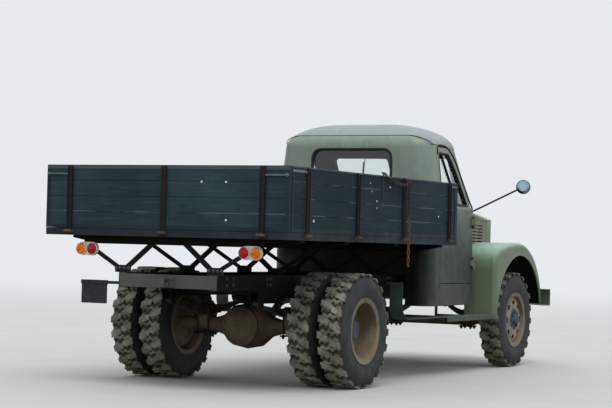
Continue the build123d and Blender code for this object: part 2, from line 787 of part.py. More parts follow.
# Driveline: engine block, gearbox, shaft
engine_rear_x = 1500
engine_front_x = 2420
gearbox_rear_x = 1080
gearbox_z = 860
bearing_x = -1150
bearing_z = 700
bearing_cross_low_z = crossmembers[2][1]
with BuildPart() as engine:
    block((engine_rear_x, engine_front_x), (-230, 230), (830, 1400))
    with BuildSketch(Plane((engine_rear_x, 0, gearbox_z), x_dir=(0, 1, 0), z_dir=(-1, 0, 0))):
        Circle(72)
    with BuildSketch(Plane((gearbox_rear_x, 0, gearbox_z), x_dir=(0, 1, 0), z_dir=(-1, 0, 0))):
        Circle(56)
    loft()
engine.part.label = "engine"
export_step(engine.part, "parts/engine.step")

with BuildPart() as drive_shaft:
    rod((gearbox_rear_x - seat_gap, 0, gearbox_z), (gearbox_rear_x - 44, 0, gearbox_z), 52)
    rod((gearbox_rear_x - 40, 0, gearbox_z), (bearing_x, 0, bearing_z), 36)
    rod((bearing_x, 0, bearing_z), (rear_axle_x + pinion_reach + 40, 0, pinion_z), 36)
    rod((rear_axle_x + pinion_reach + 44, 0, pinion_z), (rear_axle_x + pinion_reach + seat_gap, 0, pinion_z), 52)
    with Locations((bearing_x, 0, bearing_z)):
        Sphere(48)
    block((bearing_x - 25, bearing_x + 25), (-25, 25), (bearing_z + 40, bearing_cross_low_z - seat_gap))
drive_shaft.part.label = "drive_shaft"
export_step(drive_shaft.part, "parts/drive_shaft.step")

with BuildPart() as fuel_tank:
    with BuildSketch(Plane((-620, 0, 0), x_dir=(0, 1, 0), z_dir=(1, 0, 0))) as tank_end:
        with Locations((rail_outer_y + 25 + 160, 790)):
            RectangleRounded(320, 300, 70)
    extrude(tank_end.sketch, amount=620)
    block((-560, -520), (rail_outer_y, rail_outer_y + 25), (760, 930))
    block((-100, -60), (rail_outer_y, rail_outer_y + 25), (760, 930))
fuel_tank.part.label = "fuel_tank"
export_step(fuel_tank.part, "parts/fuel_tank.step")


# Tail lamps on strut ends, and the blank plate bracket at the left
lamp_plate_x = support_xs[0] - seat_gap
lamp_y = 770
lamp_z = 1130
with BuildPart() as tail_lamps:
    for side in (1, -1):
        lamp_plane = Plane((lamp_plate_x, side * lamp_y, lamp_z), x_dir=(0, 1, 0), z_dir=(-1, 0, 0))
        with BuildSketch(lamp_plane) as plate_face:
            SlotOverall(200, 112)
        extrude(plate_face.sketch, amount=22)
        with BuildSketch(lamp_plane.offset(22)) as lens:
            with GridLocations(108, 0, 2, 1):
                Circle(42)
        extrude(lens.sketch, amount=18, taper=12)
tail_lamps.part.label = "tail_lamps"
export_step(tail_lamps.part, "parts/tail_lamps.step")

with BuildPart() as plate_bracket:
    block((-2925, -2915), (705, 955), (675, 840))
    block((-2930, -2910), (700, 960), (835, 870))
    block((-2926, -2914), (rail_outer_y, 705), (840, 865))
plate_bracket.part.label = "plate_bracket"
export_step(plate_bracket.part, "parts/plate_bracket.step")


# Hood form: an arch that narrows and drops towards the front
# Columns: X, half width, shoulder height, crown height, foot height
hood_stations = (
    (hood_rear_x, 680, 1600, 1722, 940),
    (2060, 575, 1572, 1688, 940),
    (hood_front_x, 470, 1530, 1640, 940),
)
hood_rear_half, hood_rear_shoulder, hood_rear_crown = hood_stations[0][1:4]
hood_front_half, hood_front_shoulder, hood_front_crown = hood_stations[-1][1:4]
hood_foot_z = hood_stations[0][4]
hood_pivot_z = hood_rear_crown + 11


def arched_face(half, low, shoulder, crown):
    """Two straight sides under one flat arc, in the sketch that is open."""
    with BuildLine() as arch:
        Line((-half, low), (-half, shoulder))
        ThreePointArc((-half, shoulder), (0, crown), (half, shoulder))
        Line((half, shoulder), (half, low))
        Line((half, low), (-half, low))
    make_face(arch.edges())


def hood_form(inset, mode=Mode.ADD):
    """The hood's outer form, or one set in by a distance and open at its foot and both ends."""
    sections = []
    beyond = 10 if inset else 0
    for x, half, shoulder, crown, foot in hood_stations:
        reach = beyond if x == hood_front_x else -beyond if x == hood_rear_x else 0
        with BuildSketch(Plane((x + reach, 0, 0), x_dir=(0, 1, 0), z_dir=(1, 0, 0))) as station:
            arched_face(half - inset, foot - 5 * beyond, shoulder - inset, crown - inset)
        sections.append(station.sketch.faces()[0])
    loft(sections, ruled=True, mode=mode)


# Cab form: horizontal stations joined by a ruled loft. Up to the eaves each has its own line, and the
# roof follows a quarter ellipse in height and width.
# Columns: height, rear X, front X at the corners, half width at the rear, half width at the front,
# how far the nose of the front stands out, rear and front corner radius, share of an inset that lowers it
eave_rear_x = cab_rear_x + 8
eave_front_x = 1120
eave_half = 793
eave_front_half = 735
rear_round = 158
front_round = 102
nose_reach = 50
wall_stations = (
    (cab_low_z, cab_rear_x, cab_front_x, cab_half_width, cowl_half_width, 0, rear_round, front_round, 1),
    (belt_z, cab_rear_x, cab_front_x, cab_half_width - 4, cowl_half_width - 4, 0, rear_round, front_round, 0),
    (belt_z + 22, cab_rear_x, cab_front_x - 56, cab_half_width - 7, cowl_half_width - 14, nose_reach,
     rear_round, front_round, 0),
    (eave_z, eave_rear_x, eave_front_x, eave_half, eave_front_half, nose_reach, rear_round, front_round, 0),
)
roof_angles = (22, 42, 62, 86)
roof_stations = []
for degrees_up in roof_angles:
    rise = math.sin(math.radians(degrees_up))
    inward = 1 - math.cos(math.radians(degrees_up))
    roof_stations.append(
        (
            eave_z + (roof_top_z - eave_z) * rise,
            eave_rear_x + 380 * inward,
            eave_front_x - 310 * inward,
            eave_half - 530 * inward,
            eave_front_half - 480 * inward,
            nose_reach * (1 - inward) + 4,
            rear_round - 90 * inward,
            front_round - 45 * inward,
            rise,
        )
    )
cab_stations = wall_stations + tuple(roof_stations)


def corner_arc(before, corner, after, radius):
    """The start, middle and end of the arc that rounds one corner of an outline."""
    corner = Vector(*corner)
    back = (Vector(*before) - corner).normalized()
    ahead = (Vector(*after) - corner).normalized()
    half_turn = math.radians(back.get_angle(ahead)) / 2
    reach = radius / math.tan(half_turn)
    middle = corner + (back + ahead).normalized() * (radius / math.sin(half_turn) - radius)
    return corner + back * reach, middle, corner + ahead * reach


def cab_form(inset, mode=Mode.ADD):
    """The cab's outer form, or one set in by a distance and open at its foot."""
    sections = []
    for z, rear, front, half_rear, half_front, nose, rear_round, front_round, lower in cab_stations:
        rear_in, front_in = rear + inset, front - inset
        half_r, half_f = half_rear - inset, half_front - inset
        tip = (front_in + nose + 1, 0)
        rear_right = corner_arc((rear_in, 0), (rear_in, -half_r), (front_in, -half_f), rear_round - inset)
        front_right = corner_arc((rear_in, -half_r), (front_in, -half_f), tip, front_round - inset)
        front_left = [Vector(point.X, -point.Y) for point in reversed(front_right)]
        rear_left = [Vector(point.X, -point.Y) for point in reversed(rear_right)]
        with BuildSketch(Plane.XY.offset(z - inset * lower)) as station:
            with BuildLine():
                ThreePointArc(*rear_right)
                Line(rear_right[2], front_right[0])
                ThreePointArc(*front_right)
                Line(front_right[2], tip)
                Line(tip, front_left[0])
                ThreePointArc(*front_left)
                Line(front_left[2], rear_left[0])
                ThreePointArc(*rear_left)
                Line(rear_left[2], rear_right[0])
            make_face()
        sections.append(station.sketch.faces()[0])
    loft(sections, ruled=True, mode=mode)


with BuildPart() as cab_walls:
    cab_form(0)
    cab_form(cab_wall, Mode.SUBTRACT)

# Where the panels part, in the side view: the front pillar's line, the doorway and the roof seam
pillar_line = [
    (door_front_x, belt_z),
    (1345, belt_z + 30),
    (1105, 1975),
    (970, 2118),
    (850, door_top_z),
]
doorway = [(door_rear_x, door_low_z), (door_front_x, door_low_z)] + pillar_line + [
    (door_rear_x + 60, door_top_z),
    (door_rear_x, door_top_z - 60),
]
wide = 1000
far = 3000
lintel_z = door_top_z + 8
roof_line = [
    (0, 2285),
    (cab_rear_x + 58, 2285),
    (cab_rear_x + 130, 2210),
    (door_rear_x + 60, lintel_z),
    (1300, lintel_z),
    (1300, far),
    (0, far),
]
rear_line = [
    (0, 0),
    (door_rear_x, 0),
    (door_rear_x, door_top_z - 60),
    (door_rear_x + 60, door_top_z),
    (door_rear_x + 60, far),
    (0, far),
]
rear_window_low_z = 1800
rear_window_top_z = 2150
rear_window_half = 424
windscreen_low_z = 1738
windscreen_top_z = 2118
chassis_gap_y = 605
with BuildPart() as cab_roof:
    add(cab_walls.part)
    side_slab(roof_line, (-wide, wide), Mode.INTERSECT)
cab_roof.part.label = "cab_roof"
export_step(cab_roof.part, "parts/cab_roof.step")

with BuildPart() as cab_rear:
    add(cab_walls.part)
    side_slab(rear_line, (-wide, wide), Mode.INTERSECT)
    side_slab(roof_line, (-wide, wide), Mode.SUBTRACT)
    with BuildSketch(Plane((cab_rear_x - 100, 0, 0), x_dir=(0, 1, 0), z_dir=(1, 0, 0))) as rear_window_hole:
        with Locations((0, (rear_window_low_z + rear_window_top_z) / 2)):
            RectangleRounded(2 * rear_window_half, rear_window_top_z - rear_window_low_z, 95)
    extrude(rear_window_hole.sketch, amount=300, mode=Mode.SUBTRACT)
    block((0, 400), (-chassis_gap_y, chassis_gap_y), (0, cab_floor_z), Mode.SUBTRACT)
cab_rear.part.label = "cab_rear"
export_step(cab_rear.part, "parts/cab_rear.step")

# Skirts under the doors, cut from the walls, with the floor pan between them
with BuildPart() as cab_floor:
    add(cab_walls.part)
    block((door_rear_x + 1, door_front_x - 1), (-wide, wide), (cab_low_z - 10, door_low_z - gap), Mode.INTERSECT)
    pan_y = cowl_half_width - cab_wall - 12
    for side in (1, -1):
        block((door_rear_x + 1, door_front_x - 1), (side * (pan_y - 40), side * (pan_y + 25)),
              (door_low_z - gap - 22, door_low_z - gap))
        block((door_rear_x + 1, door_front_x - 1), (side * (pan_y - 40), side * pan_y),
              (door_low_z - gap - 22, cab_floor_z + 25))
    block((cab_rear_x + cab_wall + seat_gap, cab_front_x - cab_wall - seat_gap), (-pan_y + 90, pan_y - 90),
          (cab_floor_z, cab_floor_z + 25))
    block((door_rear_x + 1, door_front_x - 1), (-pan_y, pan_y), (cab_floor_z, cab_floor_z + 25))
    for side in (1, -1):
        for mount_x in (door_rear_x + 80, door_front_x - 80):
            block((mount_x - 45, mount_x + 45), (side * rail_inner_y, side * rail_outer_y), (rail_top_z, cab_floor_z))
cab_floor.part.label = "cab_floor"
export_step(cab_floor.part, "parts/cab_floor.step")

# Cowl: the wall ahead of the doors, with the windscreen frame and a firewall
front_line = [(door_front_x, 0)] + pillar_line + [(850, lintel_z), (far, lintel_z), (far, 0)]
pane_y = (40, 630)
hinge_x = door_front_x - 10
hinge_y = cowl_half_width + 8 + hinge_out
hinge_zs = (1070, 1480)
hinge_half = 35
scuttle_rear_x = cab_front_x - 180
with BuildPart() as scuttle:
    with BuildSketch(Plane((scuttle_rear_x, 0, 0), x_dir=(0, 1, 0), z_dir=(1, 0, 0))) as scuttle_section:
        arched_face(hood_rear_half, belt_z - 300, hood_rear_shoulder, hood_rear_crown)
    extrude(scuttle_section.sketch, amount=cab_front_x - scuttle_rear_x)
    cab_form(cab_wall, Mode.SUBTRACT)

with BuildPart() as cab_cowl:
    add(cab_walls.part)
    side_slab(front_line, (-wide, wide), Mode.INTERSECT)
    add(scuttle.part)
    for hinge_side in (-45, 45):
        rod((hood_pivot_x, hinge_side - 14, hood_pivot_z), (hood_pivot_x, hinge_side + 14, hood_pivot_z), 7)
        block((cab_front_x - 20, hood_pivot_x), (hinge_side - 14, hinge_side + 14),
              (hood_rear_crown - 12, hood_pivot_z))
    for side in (1, -1):
        with BuildSketch(Plane((900, 0, 0), x_dir=(0, 1, 0), z_dir=(1, 0, 0))) as pane_hole:
            with Locations((side * (pane_y[0] + pane_y[1]) / 2, (windscreen_low_z + windscreen_top_z) / 2)):
                RectangleRounded(pane_y[1] - pane_y[0], windscreen_top_z - windscreen_low_z, 50)
        extrude(pane_hole.sketch, amount=900, mode=Mode.SUBTRACT)
    block((1300, far), (-chassis_gap_y, chassis_gap_y), (0, cab_floor_z), Mode.SUBTRACT)
    for side in (1, -1):
        for hinge_z in hinge_zs:
            for low in (hinge_z - hinge_half - 25 - pin_gap, hinge_z + hinge_half + pin_gap):
                rod((hinge_x, side * hinge_y, low), (hinge_x, side * hinge_y, low + 25), 11)
                block((hinge_x, hinge_x + 50), (side * (hinge_y - 11), side * (hinge_y - 2)), (low, low + 25))
                block((door_front_x, hinge_x + 50), (side * (hinge_y - 60), side * (hinge_y - 2)), (low, low + 25))
cab_cowl.part.label = "cab_cowl"
export_step(cab_cowl.part, "parts/cab_cowl.step")

# Glass, a thin layer in the middle of the wall
with BuildPart() as glass_skin:
    cab_form(18)
    cab_form(24, Mode.SUBTRACT)

with BuildPart() as windscreen_panes:
    add(glass_skin.part)
    with BuildSketch(Plane((900, 0, 0), x_dir=(0, 1, 0), z_dir=(1, 0, 0))) as pane_faces:
        for side in (1, -1):
            with Locations((side * (pane_y[0] + pane_y[1]) / 2, (windscreen_low_z + windscreen_top_z) / 2)):
                RectangleRounded(pane_y[1] - pane_y[0], windscreen_top_z - windscreen_low_z, 50)
    extrude(pane_faces.sketch, amount=900, mode=Mode.INTERSECT)

with BuildPart() as cab_glass:
    add(glass_skin.part)
    with BuildSketch(Plane((cab_rear_x - 100, 0, 0), x_dir=(0, 1, 0), z_dir=(1, 0, 0))) as rear_pane:
        with Locations((0, (rear_window_low_z + rear_window_top_z) / 2)):
            RectangleRounded(2 * rear_window_half, rear_window_top_z - rear_window_low_z, 95)
    extrude(rear_pane.sketch, amount=300, mode=Mode.INTERSECT)
    add(windscreen_panes.part)
cab_glass.part.label = "cab_glass"
export_step(cab_glass.part, "parts/cab_glass.step")

# Doors: the wall inside the doorway less the running gap, with a window and outer hinges at the front
window_outline = [
    (door_rear_x + 62, window_sill_z),
    (1262, window_sill_z),
    (1040, 1950),
    (930, 2066),
    (850, door_top_z - 62),
    (door_rear_x + 90, door_top_z - 62),
    (door_rear_x + 62, door_top_z - 90),
]
with BuildPart() as door_left:
    add(cab_walls.part)
    with BuildSketch(Plane((0, wide, 0), x_dir=(1, 0, 0), z_dir=(0, -1, 0))) as door_face:
        with BuildLine():
            Polyline(*doorway, close=True)
        make_face()
        offset(amount=-gap, kind=Kind.INTERSECTION, mode=Mode.REPLACE)
    extrude(door_face.sketch, amount=wide, mode=Mode.INTERSECT)
    side_slab(window_outline, (300, wide), Mode.SUBTRACT)
    for hinge_z in hinge_zs:
        rod((hinge_x, hinge_y, hinge_z - hinge_half), (hinge_x, hinge_y, hinge_z + hinge_half), 11)
        block((hinge_x - 50, hinge_x), (hinge_y - 40, hinge_y - 2), (hinge_z - 28, hinge_z + 28))
    block((door_rear_x + 35, door_rear_x + 60), (cab_half_width - 25, cab_half_width + 40), (1420, 1440))
    block((door_rear_x + 35, door_rear_x + 175), (cab_half_width + 26, cab_half_width + 40), (1418, 1442))
door_left.part.label = "door_left"
export_step(door_left.part, "parts/door_left.step")

with BuildPart() as door_right:
    mirror(door_left.part, about=Plane.XZ)
door_right.part.label = "door_right"
export_step(door_right.part, "parts/door_right.step")

with BuildPart() as door_glass_left:
    add(glass_skin.part)
    side_slab(window_outline, (300, wide), Mode.INTERSECT)
door_glass_left.part.label = "door_glass_left"
export_step(door_glass_left.part, "parts/door_glass_left.step")

with BuildPart() as door_glass_right:
    mirror(door_glass_left.part, about=Plane.XZ)
door_glass_right.part.label = "door_glass_right"
export_step(door_glass_right.part, "parts/door_glass_right.step")

# Cab fittings
seat_rear_x = cab_rear_x + cab_wall + 20
with BuildPart() as seat:
    block((seat_rear_x + 90, seat_rear_x + 560), (-620, 620), (cab_floor_z + 25, 1180))
    block((seat_rear_x + 70, seat_rear_x + 580), (-640, 640), (1180, 1330))
    side_slab(
        [(seat_rear_x, 1320), (seat_rear_x + 150, 1320), (seat_rear_x + 110, 1760), (seat_rear_x, 1760)],
        (-640, 640),
    )
    block((seat_rear_x, seat_rear_x + 90), (-640, 640), (1180, 1345))
seat.part.label = "seat"
export_step(seat.part, "parts/seat.step")

wheel_centre = (1020, 400, 1480)
column_foot = (1405, 400, 1010)
column_line = Vector(*wheel_centre) - Vector(*column_foot)
with BuildPart() as dashboard:
    block((1200, 1285), (-690, 690), (1380, 1590))
    block((1280, cab_front_x - cab_wall - seat_gap), (-560, 560), (1570, 1590))
    rod(column_foot, Vector(*wheel_centre) - column_line.normalized() * 17, 22)
    block((1210, 1240), (385, 415), (1220, 1390))
dashboard.part.label = "dashboard"
export_step(dashboard.part, "parts/dashboard.step")

with BuildPart() as steering_wheel:
    wheel_plane = Plane(wheel_centre, z_dir=column_line)
    with BuildSketch(wheel_plane) as wheel_hub:
        Circle(34)
    extrude(wheel_hub.sketch, amount=16, both=True)
    with BuildSketch(Plane(wheel_centre, x_dir=wheel_plane.x_dir, z_dir=wheel_plane.y_dir)) as rim_round:
        with Locations((205, 0)):
            Circle(14)
    revolve(rim_round.sketch, axis=Axis(wheel_centre, wheel_plane.z_dir))
    with BuildSketch(wheel_plane) as spokes:
        with PolarLocations(0, 3):
            with Locations((115, 0)):
                Rectangle(190, 20)
    extrude(spokes.sketch, amount=5, both=True)
steering_wheel.part.label = "steering_wheel"
export_step(steering_wheel.part, "parts/steering_wheel.step")


# Hood: an arched shell between the cowl and the grille, split into a lid and fixed sides
hood_lid_region = [
    (1400, hood_split_rear_z + 6),
    (hood_front_x - 20, hood_split_front_z + 6),
    (hood_front_x - 20, far),
    (1400, far),
]
hood_side_region = [
    (1400, hood_split_rear_z),
    (hood_front_x, hood_split_front_z),
    (hood_front_x, 0),
    (1400, 0),
]
with BuildPart() as hood_shell:
    hood_form(0)
    hood_form(hood_wall, Mode.SUBTRACT)

with BuildPart() as hood_lid:
    add(hood_shell.part)
    side_slab(hood_lid_region, (-wide, wide), Mode.INTERSECT)
    rod((hood_pivot_x, -30.7, hood_pivot_z), (hood_pivot_x, 30.7, hood_pivot_z), 7)
    block((hood_pivot_x, hood_rear_x + 30), (-30, 30), (hood_rear_crown - 8, hood_pivot_z + 4))
hood_lid.part.label = "hood_lid"
export_step(hood_lid.part, "parts/hood_lid.step")

louvre_count = 6
louvre_low_z = 1288
louvre_pitch = 33
with BuildPart() as hood_sides:
    add(hood_shell.part)
    side_slab(hood_side_region, (-wide, wide), Mode.INTERSECT)
    for row in range(louvre_count):
        slot_z = louvre_low_z + row * louvre_pitch
        block((1640, 2420), (-wide, wide), (slot_z, slot_z + 12), Mode.SUBTRACT)
    half_slope = (hood_front_half - hood_rear_half) / (hood_front_x - hood_rear_x)
    for post_x in (1890, 2150):
        post_half = hood_rear_half + (post_x - hood_rear_x) * half_slope
        for side in (1, -1):
            block((post_x - 20, post_x + 20), (side * (post_half - 20), side * (post_half - 6)),
                  (louvre_low_z - 20, louvre_low_z + louvre_count * louvre_pitch))
    brace_y = hood_rear_half - hood_wall + 1
    block((hood_rear_x, hood_rear_x + 10), (-brace_y, brace_y), (1410, 1460))
hood_sides.part.label = "hood_sides"
export_step(hood_sides.part, "parts/hood_sides.step")

# Grille: an arched frame with vertical bars in front of the radiator
grille_half = hood_front_half
grille_low_z = 850
grille_border = 62
bar_count = 12
bar_pitch = 2 * (grille_half - grille_border) / (bar_count + 1)
with BuildPart() as grille_bars:
    with BuildSketch(Plane((grille_front_x - 45, 0, 0), x_dir=(0, 1, 0), z_dir=(1, 0, 0))) as bar_ends:
        with Locations((0, (grille_low_z + hood_front_crown) / 2)):
            with GridLocations(bar_pitch, 0, bar_count, 1):
                Rectangle(14, hood_front_crown - grille_low_z)
    extrude(bar_ends.sketch, amount=30)
    with BuildSketch(Plane((hood_front_x, 0, 0), x_dir=(0, 1, 0), z_dir=(1, 0, 0))) as bar_limits:
        arched_face(grille_half - 20, grille_low_z + 20, hood_front_shoulder - 20, hood_front_crown - 20)
    extrude(bar_limits.sketch, amount=grille_front_x - hood_front_x, mode=Mode.INTERSECT)

with BuildPart() as grille:
    with BuildSketch(Plane((hood_front_x + gap, 0, 0), x_dir=(0, 1, 0), z_dir=(1, 0, 0))) as grille_outer:
        arched_face(grille_half, grille_low_z, hood_front_shoulder, hood_front_crown)
    extrude(grille_outer.sketch, amount=grille_front_x - hood_front_x - gap)
    with BuildSketch(Plane((hood_front_x + gap, 0, 0), x_dir=(0, 1, 0), z_dir=(1, 0, 0))) as grille_inner:
        arched_face(grille_half - grille_border, grille_low_z + grille_border,
                    hood_front_shoulder - grille_border, hood_front_crown - grille_border)
    extrude(grille_inner.sketch, amount=grille_front_x - hood_front_x, mode=Mode.SUBTRACT)
    add(grille_bars.part)
    block((hood_front_x + gap, hood_front_x + 40), (-grille_half + 50, grille_half - 50),
          (grille_low_z + 50, hood_front_shoulder - 50))
    for side in (1, -1):
        side_slab(
            [
                (hood_front_x + gap, rail_roof(hood_front_x + gap) + seat_gap),
                (hood_front_x + 80, rail_roof(hood_front_x + 80) + seat_gap),
                (hood_front_x + 80, grille_low_z + 40),
                (hood_front_x + gap, grille_low_z + 40),
            ],
            (side * (rail_inner_y + 10), side * rail_outer_y),
        )
grille.part.label = "grille"
export_step(grille.part, "parts/grille.step")

# Front fenders: a crowned shell over the wheel with the arch cut in its outer face.
# In the side view its skin is three arcs that run into each other: a tight rear shoulder, a nearly flat
# sweep over the wheel and a quarter circle down the nose.
fender_crown_x = 2290
fender_rear_x = 1590
fender_nose_x = 2965
fender_low_z = 520
fender_front_low_z = 650
fender_round = 52
lip_width = 14
shoulder_radius = 240
sweep_radius = 2500
nose_radius = fender_nose_x - fender_crown_x
sweep_centre = Vector(fender_crown_x, fender_top_z - sweep_radius)
nose_centre = Vector(fender_crown_x, fender_top_z - nose_radius)
shoulder_run = fender_crown_x - fender_rear_x - shoulder_radius
shoulder_rise = math.sqrt((sweep_radius - shoulder_radius) ** 2 - shoulder_run**2)
shoulder_centre = sweep_centre + Vector(-shoulder_run, shoulder_rise)
shoulder_turn = math.atan2(shoulder_run, shoulder_rise)


def on_arc(centre, radius, turn):
    """The point on a circle at an angle from the vertical, towards the front."""
    return centre + Vector(math.sin(turn), math.cos(turn)) * radius


def fender_form(inset, low_z, inner_y):
    """A fender's whole form, from inner_y out to its face, smaller than the outer skin by the inset."""
    arcs = (
        (shoulder_centre, shoulder_radius - inset, -math.pi / 2, -shoulder_turn),
        (sweep_centre, sweep_radius - inset, -shoulder_turn, 0),
        (nose_centre, nose_radius - inset, 0, math.pi / 2),
    )
    rear_foot = (fender_rear_x + inset, low_z)
    front_foot = (fender_nose_x - inset, low_z)
    with BuildSketch(Plane((0, fender_outer_y - inset, 0), x_dir=(1, 0, 0), z_dir=(0, -1, 0))) as outline:
        with BuildLine():
            Line(rear_foot, on_arc(*arcs[0][:3]))
            for centre, radius, start, end in arcs:
                ThreePointArc(*(on_arc(centre, radius, turn) for turn in (start, (start + end) / 2, end)))
            Line(on_arc(nose_centre, nose_radius - inset, math.pi / 2), front_foot)
            Line(front_foot, rear_foot)
        make_face()
    extrude(outline.sketch, amount=fender_outer_y - inset - inner_y)


nose_far_x = fender_nose_x + 40
nose_inner_y = grille_half + 90
hood_side = [(x, half) for x, half, *heights in hood_stations]
hood_plan = [(hood_rear_x - 40, hood_rear_half + 8)] + hood_side + [
    (grille_front_x, grille_half + 2),
    (grille_front_x, nose_inner_y),
    (nose_far_x, nose_inner_y),
]
with BuildPart() as hood_block:
    hood_form(0)
    flat_slab(hood_plan + [(x, -half) for x, half in reversed(hood_plan)], (0, hood_foot_z))
    block((hood_front_x - 1, nose_far_x), (-grille_half - 2, grille_half + 2), (0, far))

with BuildPart() as fender_body:
    fender_form(0, fender_low_z, fender_inner_y)
    outer_edges = fender_body.edges().filter_by_position(Axis.Y, fender_outer_y - 1, fender_outer_y + 1)
    fillet(outer_edges.filter_by_position(Axis.Z, fender_low_z + 1, far), radius=fender_round)

with BuildPart() as fender_core:
    fender_form(fender_wall, fender_low_z - 60, 0)
    core_y = fender_outer_y - fender_wall
    core_edges = fender_core.edges().filter_by_position(Axis.Y, core_y - 1, core_y + 1)
    fillet(core_edges.filter_by_position(Axis.Z, fender_low_z - 59, far), radius=fender_round - fender_wall)

with BuildPart() as fender_left:
    add(fender_body.part)
    add(fender_core.part, mode=Mode.SUBTRACT)
    arch_plane = Plane((front_axle_x, fender_outer_y + 10, fender_low_z), x_dir=(1, 0, 0), z_dir=(0, -1, 0))
    with BuildSketch(arch_plane) as arch:
        Circle(arch_radius)
        with Locations((0, -arch_radius)):
            Rectangle(2 * arch_radius, 2 * arch_radius)
    extrude(arch.sketch, amount=70, mode=Mode.SUBTRACT)
    with BuildSketch(Plane((front_axle_x, fender_outer_y + 3, fender_low_z), x_dir=(1, 0, 0), z_dir=(0, -1, 0))) as lip:
        Circle(arch_radius + 4)
        Circle(arch_radius - lip_width, mode=Mode.SUBTRACT)
        with Locations((0, -arch_radius)):
            Rectangle(3 * arch_radius, 2 * arch_radius, mode=Mode.SUBTRACT)
    extrude(lip.sketch, amount=lip_width)
    block((front_axle_x, nose_far_x), (0, 2 * fender_outer_y), (0, fender_front_low_z), Mode.SUBTRACT)
    add(hood_block.part, mode=Mode.SUBTRACT)

with BuildPart() as front_fenders:
    add(fender_left.part)
    mirror(about=Plane.XZ)
front_fenders.part.label = "front_fenders"
export_step(front_fenders.part, "parts/front_fenders.step")

# Running boards: a step with a turned-down edge, and a narrow tail that curls up behind the cab
board_front_x = fender_rear_x - seat_gap
board_rear_x = 360
board_tail_x = board_rear_x + 60
board_inner_y = 800
board_edge = 45
with BuildPart() as running_boards:
    block((board_rear_x, board_front_x), (board_inner_y, fender_outer_y), (board_top_z - 6, board_top_z))
    block((board_rear_x, board_front_x), (fender_outer_y - 6, fender_outer_y), (board_top_z - board_edge, board_top_z))
    with BuildSketch(Plane((0, cab_half_width + 110, 0), x_dir=(1, 0, 0), z_dir=(0, -1, 0))) as tail_curve:
        with BuildLine():
            Line((board_tail_x, board_top_z), (-480, board_top_z))
            Line((-480, board_top_z), (-480, board_top_z - 6))
            Line((-480, board_top_z - 6), (board_tail_x, board_top_z - 6))
            Line((board_tail_x, board_top_z - 6), (board_tail_x, board_top_z))
        make_face()
        with BuildLine():
            ThreePointArc((-480, board_top_z - 6), (-586, board_top_z + 38), (-630, board_top_z + 144))
            Line((-630, board_top_z + 144), (-630, 890))
            Line((-630, 890), (-624, 890))
            Line((-624, 890), (-624, board_top_z + 144))
            ThreePointArc((-624, board_top_z + 144), (-582, board_top_z + 42), (-480, board_top_z))
            Line((-480, board_top_z), (-480, board_top_z - 6))
        make_face()
    extrude(tail_curve.sketch, amount=130)
    for bracket_x in (board_rear_x + 60, board_front_x - 300):
        block((bracket_x, bracket_x + 50), (rail_outer_y, cab_half_width + 60), (board_top_z - 46, board_top_z - 6))
        block((bracket_x, bracket_x + 50), (rail_outer_y, rail_outer_y + 12), (board_top_z - 46, rail_top_z - 60))
    mirror(about=Plane.XZ)
running_boards.part.label = "running_boards"
export_step(running_boards.part, "parts/running_boards.step")

# Front bumper: a channel with swept ends
with BuildPart() as front_bumper:
    flat_slab(
        [
            (bumper_front_x, -760),
            (bumper_front_x, 760),
            (bumper_front_x - 250, 1082),
            (bumper_front_x - 310, 1050),
            (bumper_front_x - 80, 735),
            (bumper_front_x - 80, -735),
            (bumper_front_x - 310, -1050),
            (bumper_front_x - 250, -1082),
        ],
        (bumper_low_z, bumper_top_z),
    )
    flat_slab(
        [
            (bumper_front_x - 8, -757),
            (bumper_front_x - 8, 757),
            (bumper_front_x - 258, 1079),
            (bumper_front_x - 330, 1050),
            (bumper_front_x - 100, 735),
            (bumper_front_x - 100, -735),
            (bumper_front_x - 330, -1050),
            (bumper_front_x - 258, -1079),
        ],
        (bumper_low_z + 8, bumper_top_z - 8),
        Mode.SUBTRACT,
    )
    for side in (1, -1):
        block((frame_front_x + seat_gap, bumper_front_x - 8), (side * spring_y - 32, side * spring_y + 32),
              (rail_front_low_z, bumper_top_z - 8))
front_bumper.part.label = "front_bumper"
export_step(front_bumper.part, "parts/front_bumper.step")

# Headlamps on the fenders
headlamp_x = 2845
headlamp_y = 700
headlamp_z = 1180
with BuildPart() as headlamps:
    for side in (1, -1):
        lamp_centre = (headlamp_x, side * headlamp_y, headlamp_z)
        with BuildSketch(Plane(lamp_centre, x_dir=(1, 0, 0), z_dir=(0, -1, 0))) as bowl:
            with BuildLine():
                Line((-190, 0), (60, 0))
                ThreePointArc((60, 0), (52, 50), (30, 92))
                Line((30, 92), (30, 100))
                Line((30, 100), (10, 100))
                ThreePointArc((10, 100), (-110, 70), (-190, 0))
            make_face()
        revolve(bowl.sketch, axis=Axis(lamp_centre, (1, 0, 0)))
        rod((headlamp_x - 40, side * headlamp_y, headlamp_z - 260),
            (headlamp_x - 40, side * headlamp_y, headlamp_z - 60), 20)
    add(fender_body.part, mode=Mode.SUBTRACT)
    add(mirror(fender_body.part, about=Plane.XZ, mode=Mode.PRIVATE), mode=Mode.SUBTRACT)
headlamps.part.label = "headlamps"
export_step(headlamps.part, "parts/headlamps.step")

# Mirrors on arms from the cowl
mirror_centre = (1375, 1350, 1840)
mirror_foot = (1428, cowl_half_width - 12, 1593)
mirror_radius = 70
with BuildPart() as mirrors:
    rod(mirror_foot, mirror_centre, 9)
    with BuildSketch(Plane(mirror_centre, z_dir=(-1, 0.12, 0))) as mirror_face:
        Circle(mirror_radius)
    extrude(mirror_face.sketch, amount=14, both=True)
    mirror(about=Plane.XZ)
    add(cab_cowl.part, mode=Mode.SUBTRACT)
mirrors.part.label = "mirrors"
export_step(mirrors.part, "parts/mirrors.step")
